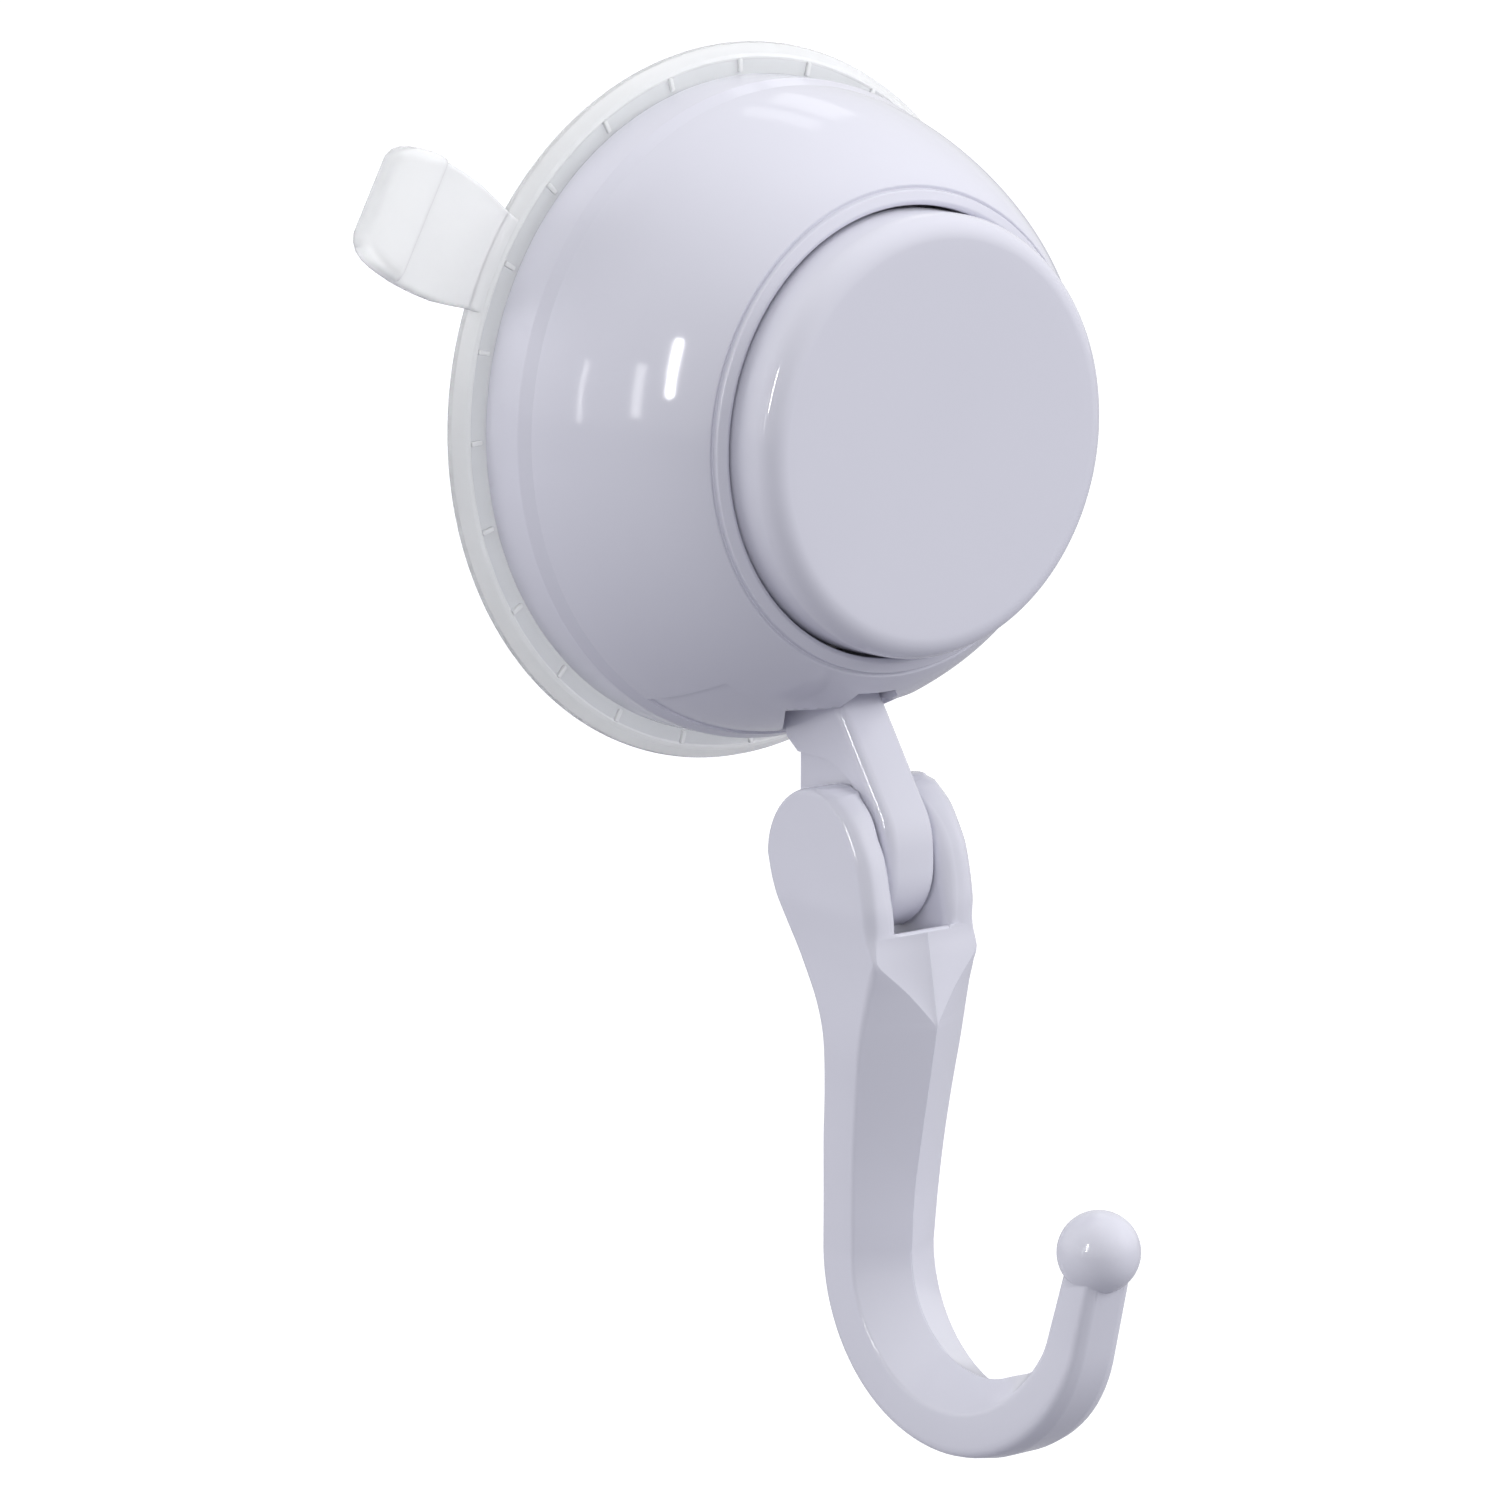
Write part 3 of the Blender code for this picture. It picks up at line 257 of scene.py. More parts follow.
def bevelMesh(mesh, width, degrees):
    # Rounds the edges that turn by more than the angle.
    work = newObject("work", mesh)
    modifier = work.modifiers.new("edges", "BEVEL")
    modifier.width = width * mm
    modifier.segments = 3
    modifier.limit_method = "ANGLE"
    modifier.angle_limit = math.radians(degrees)
    return evaluatedMesh(work)


def joinMeshes(name, meshes):
    shape = bmesh.new()
    for mesh in meshes:
        shape.from_mesh(mesh)
    return finishMesh(name, shape)


def addPiece(name, mesh, material, body, slot, *nodes, sharp=38):
    mesh.materials.clear()
    mesh.materials.append(material)
    mesh.shade_smooth()
    mesh.set_sharp_from_angle(angle=math.radians(sharp))
    piece = newObject(name, mesh)
    if body:
        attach(piece, body)
    if nodes:
        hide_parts(*nodes)
    return piece


print("stage: materials")


def newGroup(name, inputs, outputs):
    group = bpy.data.node_groups.new(name, "ShaderNodeTree")
    for label, kind, value in inputs:
        socket = group.interface.new_socket(label, in_out="INPUT", socket_type=kind)
        socket.default_value = value
    for label, kind in outputs:
        group.interface.new_socket(label, in_out="OUTPUT", socket_type=kind)
    start = group.nodes.new("NodeGroupInput")
    end = group.nodes.new("NodeGroupOutput")
    return group, start, end


def plug(tree, value, socket):
    # Links an output to the socket, or gives it a plain value.
    if hasattr(value, "links"):
        tree.links.new(value, socket)
    else:
        socket.default_value = value


def mathNode(tree, operation, first, second=0.0):
    node = tree.nodes.new("ShaderNodeMath")
    node.operation = operation
    plug(tree, first, node.inputs[0])
    plug(tree, second, node.inputs[1])
    return node.outputs[0]


def noiseNode(tree, place, size, detail):
    node = tree.nodes.new("ShaderNodeTexNoise")
    node.inputs["Detail"].default_value = detail
    if place:
        tree.links.new(place, node.inputs["Vector"])
    plug(tree, size, node.inputs["Scale"])
    return node.outputs["Fac"]


def mixNode(tree, share, first, second, blend="MIX"):
    node = tree.nodes.new("ShaderNodeMix")
    node.data_type = "RGBA"
    node.blend_type = blend
    for label, value in (("Factor", share), ("A", first), ("B", second)):
        plug(tree, value, node.inputs[label])
    return node.outputs["Result"]


def bumpNode(tree, height, strength):
    node = tree.nodes.new("ShaderNodeBump")
    node.inputs["Distance"].default_value = 0.0001
    plug(tree, strength, node.inputs["Strength"])
    plug(tree, height, node.inputs["Height"])
    return node.outputs["Normal"]


def axisNodes(tree):
    # The object's coordinates, and the distance from the cup's axis.
    place = tree.nodes.new("ShaderNodeTexCoord")
    parts = tree.nodes.new("ShaderNodeSeparateXYZ")
    tree.links.new(place.outputs["Object"], parts.inputs[0])
    squareX = mathNode(tree, "MULTIPLY", parts.outputs["X"], parts.outputs["X"])
    squareZ = mathNode(tree, "MULTIPLY", parts.outputs["Z"], parts.outputs["Z"])
    return parts, mathNode(tree, "SQRT", mathNode(tree, "ADD", squareX, squareZ))


surfaceOutputs = (
    ("Color", "NodeSocketColor"), ("Roughness", "NodeSocketFloat"), ("Normal", "NodeSocketVector"),
)


def finishSurface(group, end, color, roughness, normal):
    for label, value in (("Color", color), ("Roughness", roughness), ("Normal", normal)):
        group.links.new(value, end.inputs[label])
    return group


def mouldedSurface():
    # Moulded plastic: a faint cloudiness of the colour, a fine skin and uneven gloss.
    group, start, end = newGroup(
        "mouldedSurface",
        (
            ("Color", "NodeSocketColor", (0.7, 0.7, 0.76, 1)),
            ("Cloud Color", "NodeSocketColor", (0.65, 0.65, 0.72, 1)),
            ("Cloud Size", "NodeSocketFloat", 60.0),
            ("Gloss", "NodeSocketFloat", 0.18),
            ("Gloss Change", "NodeSocketFloat", 0.05),
            ("Skin Size", "NodeSocketFloat", 900.0),
            ("Skin Depth", "NodeSocketFloat", 0.02),
        ),
        surfaceOutputs,
    )
    given = start.outputs
    place = group.nodes.new("ShaderNodeTexCoord").outputs["Object"]
    cloud = noiseNode(group, place, given["Cloud Size"], 3)
    color = mixNode(group, cloud, given["Color"], given["Cloud Color"])
    change = mathNode(group, "MULTIPLY", cloud, given["Gloss Change"])
    gloss = mathNode(group, "ADD", given["Gloss"], change)
    skin = noiseNode(group, place, given["Skin Size"], 2)
    return finishSurface(group, end, color, gloss, bumpNode(group, skin, given["Skin Depth"]))


def brushedSurface():
    # Drawn or turned steel: fine grooves round the cup's axis.
    group, start, end = newGroup(
        "brushedSurface",
        (
            ("Color", "NodeSocketColor", (0.6, 0.6, 0.62, 1)),
            ("Groove Color", "NodeSocketColor", (0.45, 0.45, 0.47, 1)),
            ("Groove Size", "NodeSocketFloat", 2500.0),
            ("Gloss", "NodeSocketFloat", 0.25),
            ("Gloss Change", "NodeSocketFloat", 0.15),
            ("Groove Depth", "NodeSocketFloat", 0.15),
        ),
        surfaceOutputs,
    )
    given = start.outputs
    parts, reach = axisNodes(group)
    rings = group.nodes.new("ShaderNodeCombineXYZ")
    group.links.new(reach, rings.inputs[0])
    group.links.new(parts.outputs["Y"], rings.inputs[1])
    grooves = noiseNode(group, rings.outputs[0], given["Groove Size"], 3)
    color = mixNode(group, grooves, given["Color"], given["Groove Color"])
    change = mathNode(group, "MULTIPLY", grooves, given["Gloss Change"])
    gloss = mathNode(group, "ADD", given["Gloss"], change)
    return finishSurface(group, end, color, gloss, bumpNode(group, grooves, given["Groove Depth"]))


def ringMask():
    # One inside a radius round the cup's axis, but zero in front of a height from the wall.
    group, start, end = newGroup(
        "ringMask",
        (("Radius", "NodeSocketFloat", 0.03), ("Height", "NodeSocketFloat", 0.002)),
        (("Mask", "NodeSocketFloat"),),
    )
    parts, reach = axisNodes(group)
    inside = mathNode(group, "LESS_THAN", reach, start.outputs["Radius"])
    height = mathNode(group, "MULTIPLY", parts.outputs["Y"], -1.0)
    behind = mathNode(group, "LESS_THAN", height, start.outputs["Height"])
    group.links.new(mathNode(group, "MULTIPLY", inside, behind), end.inputs["Mask"])
    return group


def newMaterial(name, group, values, fixed):
    material = bpy.data.materials.new(name)
    material.use_nodes = True
    tree = material.node_tree
    shader = tree.nodes["Principled BSDF"]
    surface = tree.nodes.new("ShaderNodeGroup")
    surface.node_tree = group
    for label, value in values.items():
        surface.inputs[label].default_value = value
    for label, target in (("Color", "Base Color"), ("Roughness", "Roughness"), ("Normal", "Normal")):
        tree.links.new(surface.outputs[label], shader.inputs[target])
    for label, value in fixed.items():
        shader.inputs[label].default_value = value
    return material


moulded = mouldedSurface()
brushed = brushedSurface()

whiteTones = {
    "Color": (0.692, 0.69, 0.768, 1), "Cloud Color": (0.667, 0.665, 0.744, 1), "Gloss Change": 0.04,
}


def whitePlastic(name, gloss, skinDepth):
    return newMaterial(name, moulded, {**whiteTones, "Gloss": gloss, "Skin Depth": skinDepth}, {"IOR": 1.53})


coverPlastic = whitePlastic("coverPlastic", 0.07, 0.02)
buttonPlastic = whitePlastic("buttonPlastic", 0.07, 0.015)
armPlastic = whitePlastic("armPlastic", 0.08, 0.02)
hookPlastic = whitePlastic("hookPlastic", 0.12, 0.03)
clearVinyl = newMaterial(
    "clearVinyl",
    moulded,
    {
        "Color": (0.95, 0.955, 0.96, 1), "Cloud Color": (0.92, 0.925, 0.93, 1), "Cloud Size": 180.0,
        "Gloss": 0.2, "Gloss Change": 0.1, "Skin Size": 350.0, "Skin Depth": 0.02,
    },
    {"IOR": 1.42, "Transmission Weight": 0.55},
)
# Painted shade on the cup in a ring at the foot of the cover: its radius, the height it reaches and the
# darkening tone.
cupFootShade = {"radius": 28.7, "height": 1.78, "shadeTone": (0.86, 0.87, 0.88, 1)}


def paintCupFootShade(material, s):
    # Painted shade: the cup's colour is darkened inside a radius, in the ring at the foot of the cover.
    tree = material.node_tree
    color = tree.nodes["Principled BSDF"].inputs["Base Color"]
    plain = color.links[0].from_socket
    mask = tree.nodes.new("ShaderNodeGroup")
    mask.node_tree = ringMask()
    mask.inputs["Radius"].default_value = s["radius"] * mm
    mask.inputs["Height"].default_value = s["height"] * mm
    # The painted shade is multiplied into the cup's colour inside the ring.
    tree.links.new(mixNode(tree, mask.outputs["Mask"], plain, s["shadeTone"], "MULTIPLY"), color)


paintCupFootShade(clearVinyl, cupFootShade)
metal = {"Metallic": 1.0}
turnedSteel = newMaterial("turnedSteel", brushed, {"Gloss": 0.22}, metal)
springWire = newMaterial("springWire", brushed, {"Gloss": 0.28, "Groove Size": 4000.0}, metal)
screwSteel = newMaterial("screwSteel", brushed, {"Gloss": 0.3, "Color": (0.55, 0.55, 0.57, 1)}, metal)

print("stage: cover")

# The cover's bosses and the frame's holes stand on one circle.
screws = {"circle": 19.7, "angles": (90, 210, 330), "steps": 40}


def atScrews(name, profile, closed):
    pieces = []
    for degrees in screws["angles"]:
        angle = math.radians(degrees)
        away = Vector((math.cos(angle), 0, math.sin(angle))) * screws["circle"] * mm
        piece = turnedMesh(name, profile, screws["steps"], closed)
        piece.transform(Matrix.Translation(away))
        pieces.append(piece)
    return pieces


cover = {
    "rim": (27.53, 2.0), "lip": (27.45, 6.2), "crease": (26.95, 7.4), "sideHandle": (0.75, 4.4),
    "topHandle": (2.94, 2.71), "domeTop": (20.1, 21.7), "domeSteps": 40, "wall": 2.0,
    "grooveRadius": 19.85, "crestRadius": 19.0, "crest": 22.42,
    "wellRadius": 18.5, "wellEdge": 22.1, "wellWall": 1.5, "floorBack": 15.6, "floorFront": 17.2,
    "sleeveInner": 14.6, "sleeveOuter": 16.0, "sleeveBack": 14.6, "steps": 240,
    "hole": ((-2.75, 9.4), (2.75, 9.4), (2.75, 18.2), (1.2, 19.75), (-2.75, 19.75)),
    "holeBottom": -32.0, "holeTop": -21.4,
    "relief": ((-2.75, 10.0), (2.75, 10.0), (6.9, 15.4), (6.9, 17.3), (-6.9, 17.3), (-6.9, 15.4)),
    "reliefBottom": -33.0, "reliefTop": -23.1,
    "panelHalfWidth": 13.4, "panelFront": 15.6, "panelDepth": 0.18, "panelSteps": 24,
    "bossRadius": 2.6, "bossBore": 1.1, "bossBack": 8.5, "bossFront": 16.8,
}


def domeLine(s):
    crease, top = s["crease"], s["domeTop"]
    side = (crease[0] - s["sideHandle"][0], crease[1] + s["sideHandle"][1])
    under = (top[0] + s["topHandle"][0], top[1] - s["topHandle"][1])
    return bezierLine(crease, side, under, top, s["domeSteps"])


def panelMesh(s):
    # A skin over the lower part of the dome, which is cut away so that the panel lies a little deeper.
    outside = [point for point in domeLine(s) if point[1] < s["panelFront"]]
    sweep = math.asin(s["panelHalfWidth"] / outside[-1][0])
    line = [(radius - s["panelDepth"], height) for radius, height in outside]
    far = s["rim"][0] + 2
    rings = []
    for step in range(s["panelSteps"] + 1):
        angle = -math.pi / 2 - sweep + 2 * sweep * step / s["panelSteps"]
        across = Vector((math.cos(angle), 0, math.sin(angle)))
        ring = [across * radius - Vector((0, height, 0)) for radius, height in line]
        ring += [across * far - Vector((0, line[-1][1], 0)), across * far - Vector((0, line[0][1], 0))]
        rings.append([point * mm for point in ring])
    return loftMesh("panel", rings)


def makeCover(s):
    outside = domeLine(s)
    inside = []
    for index, (radius, height) in enumerate(outside):
        low = outside[max(index - 1, 0)]
        high = outside[min(index + 1, len(outside) - 1)]
        way = Vector((high[0] - low[0], high[1] - low[1])).normalized()
        inside.append((radius - s["wall"] * way.y, height + s["wall"] * way.x))
    wellOuter = s["wellRadius"] + s["wellWall"]
    inside = [point for point in inside if point[0] > wellOuter + 0.4]
    corners = [
        (s["sleeveInner"], s["floorFront"], 0.2),
        (s["wellRadius"], s["floorFront"], 0.2),
        (s["wellRadius"], s["wellEdge"] + 0.1, 0.3),
        (s["crestRadius"] - 0.1, s["crest"], 0.3),
        (s["grooveRadius"] - 0.12, s["crest"] - 0.28, 0.2),
        (s["grooveRadius"] - 0.06, s["domeTop"][1] - 0.12, 0.05),
        (s["grooveRadius"] + 0.02, s["domeTop"][1] - 0.12, 0.05),
    ]
    dome = [(radius, height, 0) for radius, height in reversed(outside)]
    dome[0] = dome[0][:2] + (0.15,)
    dome[-1] = dome[-1][:2] + (0.12,)
    corners += dome
    corners += [
        s["lip"] + (0.5,),
        (s["rim"][0], s["rim"][1], 0.3),
        (s["rim"][0] - s["wall"], s["rim"][1], 0.3),
    ]
    corners += [(radius, height, 0) for radius, height in inside]
    corners += [
        (wellOuter, inside[-1][1] + 0.2, 0),
        (wellOuter, s["floorBack"], 0.2),
        (s["sleeveOuter"], s["floorBack"], 0.2),
        (s["sleeveOuter"], s["sleeveBack"], 0.2),
        (s["sleeveInner"], s["sleeveBack"], 0.2),
    ]
    shell = turnedMesh("coverShell", filletLine(corners), s["steps"])
    hole = prismMesh("hole", s["hole"], s["holeBottom"], s["holeTop"])
    relief = prismMesh("relief", s["relief"], s["reliefBottom"], s["reliefTop"])
    shell = cutMesh(shell, [panelMesh(s), hole, relief])
    tube = filletLine(
        [
            (s["bossBore"], s["bossBack"], 0.1), (s["bossRadius"], s["bossBack"], 0.2),
            (s["bossRadius"], s["bossFront"], 0), (s["bossBore"], s["bossFront"], 0),
        ]
    )
    mesh = joinMeshes("coverShell", [shell] + atScrews("boss", tube, closed=True))
    addPiece("coverShell", mesh, coverPlastic, "base", "housing_plastic", "housing")


makeCover(cover)

print("stage: button")

button = {
    "radius": 18.28, "top": 26.9, "round": 2.1, "skirtBack": 21.2, "skirtWall": 1.4, "inside": 25.3,
    "guideRadius": 14.2, "guideWall": 1.6, "guideBack": 12.5, "clawReach": 1.1, "clawFront": 14.2,
    "slit": 6.0, "slits": 3, "socketInner": 6.32, "socketWall": 2.0, "socketBack": 21.6, "crown": 0.12,
    "faceSteps": 12, "steps": 240,
}


def makeButton(s):
    # A very slight crown lets the face catch light unevenly.
    flatRadius = s["radius"] - s["round"]
    face = []
    for step in range(s["faceSteps"] + 1):
        radius = (flatRadius - 0.1) * step / s["faceSteps"]
        face.append((radius, s["top"] - s["crown"] * (radius / s["radius"]) ** 2))
    edge = arcLine((s["radius"] - 0.1 - s["round"], s["top"] - s["round"]), s["round"], math.radians(88), 0, 16)
    edge = [(r, h - s["crown"] * (flatRadius / s["radius"]) ** 2) for r, h in edge]
    corners = [(r, h, 0) for r, h in face[:-1] + edge]
    guideInner = s["guideRadius"] - s["guideWall"]
    socketOuter = s["socketInner"] + s["socketWall"]
    corners += [
        (s["radius"], s["skirtBack"], 0.25),
        (s["radius"] - s["skirtWall"], s["skirtBack"], 0.25),
        (s["radius"] - s["skirtWall"], s["inside"], 0.4),
        (s["guideRadius"], s["inside"], 0.3),
        (s["guideRadius"], s["clawFront"], 0.1),
        (s["guideRadius"] + s["clawReach"], s["clawFront"], 0.15),
        (s["guideRadius"] + s["clawReach"], s["clawFront"] - 0.6, 0.2),
        (s["guideRadius"], s["guideBack"], 0.2),
        (guideInner, s["guideBack"], 0.2),
        (guideInner, s["inside"], 0.3),
        (socketOuter, s["inside"], 0.3),
        (socketOuter, s["socketBack"], 0.3),
        (s["socketInner"], s["socketBack"], 0.3),
        (s["socketInner"], s["inside"], 0.2),
        (0, s["inside"], 0),
    ]
    mesh = turnedMesh("pressButton", filletLine(corners), s["steps"], closed=False)
    slits = []
    for index in range(s["slits"]):
        slit = boxMesh(
            "slit",
            (guideInner - 2, -(s["clawFront"] + 4), -s["slit"] / 2),
            (s["guideRadius"] + s["clawReach"] + 1, -(s["guideBack"] - 1), s["slit"] / 2),
        )
        slits.append(spinMesh(slit, -360 / s["slits"] * index))
    mesh = cutMesh(mesh, slits)
    addPiece("pressButton", mesh, buttonPlastic, "plunger", "button_plastic", "push_button")


makeButton(button)

print("stage: suction cup")

cup = {
    "radius": 30.0, "lipWidth": 4.5, "lipThick": 1.7, "edgeThick": 0.45, "edgeSlope": 1.3,
    "dish": 4.0, "webRise": 3.3, "pocketBack": 5.5, "pocketFront": 7.5, "pocketRadius": 5.5,
    "bossRadius": 7.0, "bossTop": 9.2, "studHole": 2.8, "steps": 240,
    "ribs": 24, "ribStart": 1.3, "ribInner": 27.65, "ribOuter": 28.8, "ribWidth": 0.42, "ribTop": 2.0,
    "ribRound": 0.12, "dishSteps": 25,
    "tabAngle": 152,
    # (distance from the axis, half width, back, front, corner radius)
    "tab": (
        (28.6, 4.15, 0.35, 1.55, 0.35), (30.0, 4.3, 0.3, 1.6, 0.4), (31.5, 4.7, 0.3, 1.6, 0.45),
        (33.5, 5.15, 0.3, 1.6, 0.5), (35.5, 5.33, 0.3, 1.6, 0.5), (37.2, 5.38, 0.3, 1.62, 0.5),
        (37.9, 5.38, 0.3, 1.75, 0.55), (38.35, 5.38, 0.3, 2.5, 0.8), (38.7, 5.36, 0.3, 3.1, 0.95),
        (39.3, 5.33, 0.3, 3.38, 1.05), (40.4, 5.22, 0.3, 3.45, 1.1), (41.4, 5.0, 0.32, 3.4, 1.15),
        (42.2, 4.65, 0.42, 3.2, 1.1), (42.8, 4.2, 0.6, 2.95, 0.95), (43.2, 3.65, 0.85, 2.6, 0.75),
        (43.4, 3.1, 1.15, 2.25, 0.45),
    ),
}


def makeCup(s):
    lipInner = s["radius"] - s["lipWidth"]
    slopeStart = s["radius"] - s["edgeSlope"]
    webFront = s["lipThick"] + 0.3
    corners = [
        (0, s["pocketBack"], 0),
        (s["pocketRadius"], s["pocketBack"], 0.3),
        (s["pocketRadius"], s["pocketFront"], 0.3),
        (s["studHole"], s["pocketFront"], 0.2),
        (s["studHole"], s["bossTop"], 0.2),
        (s["bossRadius"], s["bossTop"], 0.5),
        (s["bossRadius"], webFront + s["webRise"], 0.6),
        (s["bossRadius"] + 1.2, webFront + s["webRise"] - 0.25, 0.8),
        (lipInner - 1.5, webFront, 2.0),
        (lipInner - 0.3, s["lipThick"], 0.5),
        (slopeStart - 0.05, s["lipThick"], 0.1),
        (slopeStart + 0.15, s["lipThick"] + 0.12, 0.12),
        (slopeStart + 0.45, s["lipThick"] - 0.05, 0.2),
        (s["radius"] - 0.12, s["edgeThick"] + 0.25, 0.2),
        (s["radius"], 0.25, 0.15),
        (s["radius"] - 0.3, 0, 0.15),
        (lipInner, 0, 1.0),
    ]
    for step in range(1, s["dishSteps"]):
        share = step / s["dishSteps"]
        corners.append((lipInner * (1 - share), s["dish"] * math.sin(share * math.pi / 2), 0))
    corners.append((0, s["dish"], 0))
    mesh = turnedMesh("clearCup", filletLine(corners), s["steps"], closed=False)
    ribs = []
    for index in range(s["ribs"]):
        low = (s["ribInner"], -s["ribTop"], -s["ribWidth"] / 2)
        high = (s["ribOuter"], -(s["lipThick"] - 0.3), s["ribWidth"] / 2)
        rib = bevelMesh(boxMesh("rib", low, high), s["ribRound"], 40)
        ribs.append(spinMesh(rib, -s["ribStart"] - 360 * index / s["ribs"]))
    angle = math.radians(s["tabAngle"])
    out = Vector((math.cos(angle), 0, math.sin(angle)))
    across = Vector((-out.z, 0, out.x))
    rings = []
    for reach, half, back, front, corner in s["tab"]:
        side = [(half, front, corner), (half, back, corner * 0.6)]
        outline = filletLine(side + [(-x, height, radius) for x, height, radius in reversed(side)])
        rings.append([(out * reach + across * x - Vector((0, h, 0))) * mm for x, h in outline])
    mesh = cutMesh(mesh, [joinMeshes("ribs", ribs), loftMesh("tab", rings)], "UNION")
    piece = addPiece("clearCup", mesh, clearVinyl, None, "cup_pvc", "suction_cup", sharp=60)
    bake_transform(piece)


makeCup(cup)

print("stage: frame and arm")

arm = {
    "pivot": (-17.9, -36.1), "halfWidth": 2.6, "endHalfWidth": 2.28, "endRadius": 5.75,
    "edge": 0.25, "frontEdge": 1.0,
    # The outline, as (Y, Z): the back down to the round end, and the front up to the root.
    "backLine": ((-9.0, -18.0), (-9.95, -23.6), (-10.4, -26.5), (-11.85, -27.6), (-11.85, -30.9)),
    "frontLine": ((-16.7, -22.5), (-14.4, -19.3), (-14.4, -18.0)),
    # From the pivot: the shoulder between them, and the edge of the thinner end, which ends in an arc.
    "shoulder": (-4.7, 4.9), "shoulderHandle": 1.8,
    "step": ((9.0, 8.6), (2.7, 8.4), (0.8, 7.9), (-0.8, 6.8), (-2.2, 5.0), (-3.4, 2.9), (-4.3, 1.4)),
    "stepRadius": 4.6, "stepSoft": 1.2, "pocketHalf": 1.0,
    "rootTop": 16.8, "rootDepth": 4.2, "rootHalfWidth": 6.0, "trunnionRadius": 1.5, "trunnionEnd": 3.85,
    "plateBack": 6.2, "plateFront": 8.2, "frameRadius": 24.53, "skirtWall": 1.4, "skirtBack": 2.3,
    "turretInner": 7.8, "turretOuter": 9.3, "turretBack": 9.5, "turretTop": 11.5, "studHole": 3.2,
    "springRimInner": 6.75, "springRimOuter": 7.95, "springRimTop": 12.5, "floorBack": 15.6,
    "screwHole": 1.2, "headHole": 2.5, "headTop": 7.4,
    "ribs": 6, "ribInner": 14.5, "ribHalfWidth": 0.7, "ribDepth": 1.8, "steps": 144,
}


def roundFrontEdges(mesh, width):
    # The two long front edges of the arm are rounder than the rest.
    shape = bmesh.new()
    shape.from_mesh(mesh)
    shape.normal_update()
    front = [
        edge for edge in shape.edges
        if abs(edge.verts[0].co.x - edge.verts[1].co.x) < 1e-6
        and any(abs(face.normal.x) < 0.1 and face.normal.y < -0.3 for face in edge.link_faces)
    ]
    bmesh.ops.bevel(shape, geom=front, offset=width * mm, segments=5, profile=0.5, affect="EDGES")
    return finishMesh("arm", shape)


def armMesh(s):
    py, pz = s["pivot"]
    shoulder = Vector((py + s["shoulder"][0], pz + s["shoulder"][1]))
    lean = (shoulder - Vector(s["frontLine"][0])).normalized() * s["shoulderHandle"]
    nose = (py - s["endRadius"], pz)
    outline = list(s["backLine"]) + arcLine((py, pz), s["endRadius"], 0, -math.pi, 40)
    outline += bezierLine(nose, (nose[0], nose[1] + s["shoulderHandle"]), shoulder + lean, shoulder, 10)[1:]
    outline += s["frontLine"]
    mesh = roundFrontEdges(plateMesh("arm", outline, s["halfWidth"]), s["frontEdge"])
    step = list(s["step"]) + arcLine((0, 0), s["stepRadius"], math.pi, math.pi * 1.5, 10)
    step.append((s["step"][0][0], -s["stepRadius"]))
    stepLine = filletLine([(py + y, pz + z, s["stepSoft"]) for y, z in step])
    pockets = []
    for side in (-1, 1):
        pocket = plateMesh("pocket", stepLine, s["pocketHalf"])
        pocket.transform(Matrix.Translation((side * (s["endHalfWidth"] + s["pocketHalf"]) * mm, 0, 0)))
        pockets.append(pocket)
    return bevelMesh(cutMesh(mesh, pockets), s["edge"], 50)


def frameMesh(s):
    # The plate with its skirt and the spring's turret.
    corners = [
        (s["studHole"], s["turretTop"], 0.2),
        (s["springRimInner"], s["turretTop"], 0.2),
        (s["springRimInner"], s["springRimTop"], 0.2),
        (s["springRimOuter"], s["springRimTop"], 0.2),
        (s["springRimOuter"] + 0.4, s["turretTop"], 0.2),
        (s["turretOuter"], s["turretTop"] - 0.2, 0.3),
        (s["turretOuter"], s["plateFront"], 0.4),
        (s["frameRadius"], s["plateFront"], 0.4),
        (s["frameRadius"], s["skirtBack"], 0.3),
        (s["frameRadius"] - s["skirtWall"], s["skirtBack"], 0.3),
        (s["frameRadius"] - s["skirtWall"], s["plateBack"], 0.4),
        (s["turretInner"], s["plateBack"], 0.4),
        (s["turretInner"], s["turretBack"], 0.4),
        (s["studHole"], s["turretBack"], 0.2),
    ]
    plate = turnedMesh("plate", filletLine(corners), s["steps"])
    front, back = s["plateFront"] + 1, s["plateBack"] - 1
    line = [
        (0, front), (s["screwHole"], front), (s["screwHole"], s["headTop"]),
        (s["headHole"], s["headTop"]), (s["headHole"], back), (0, back),
    ]
    return cutMesh(plate, atScrews("hole", line, closed=False))


def makeArm(s):
    stem = armMesh(s)
    trunnions = barMesh("trunnions", s["trunnionRadius"], s["trunnionEnd"], Vector((0, *s["pivot"])))
    trunnions = bevelMesh(trunnions, 0.2, 50)
    plate = frameMesh(s)
    ribs = []
    for index in range(s["ribs"]):
        low = (s["ribInner"], -(s["plateBack"] + 0.4), -s["ribHalfWidth"])
        high = (s["frameRadius"] - s["skirtWall"] + 0.3, -(s["plateBack"] - s["ribDepth"]), s["ribHalfWidth"])
        rib = bevelMesh(boxMesh("rib", low, high), 0.2, 40)
        ribs.append(spinMesh(rib, 360 / s["ribs"] * index))
    root = boxMesh(
        "root",
        (-s["rootHalfWidth"], -(s["floorBack"] - 0.8), -(s["rootTop"] + s["rootDepth"])),
        (s["rootHalfWidth"], -(s["plateFront"] - 0.4), -s["rootTop"]),
    )
    joined = joinMeshes("armFrame", [stem, trunnions, plate, bevelMesh(root, 0.3, 40)] + ribs)
    addPiece("armFrame", joined, armPlastic, "base", "frame_plastic", "base_frame")


makeArm(arm)

print("stage: hook")

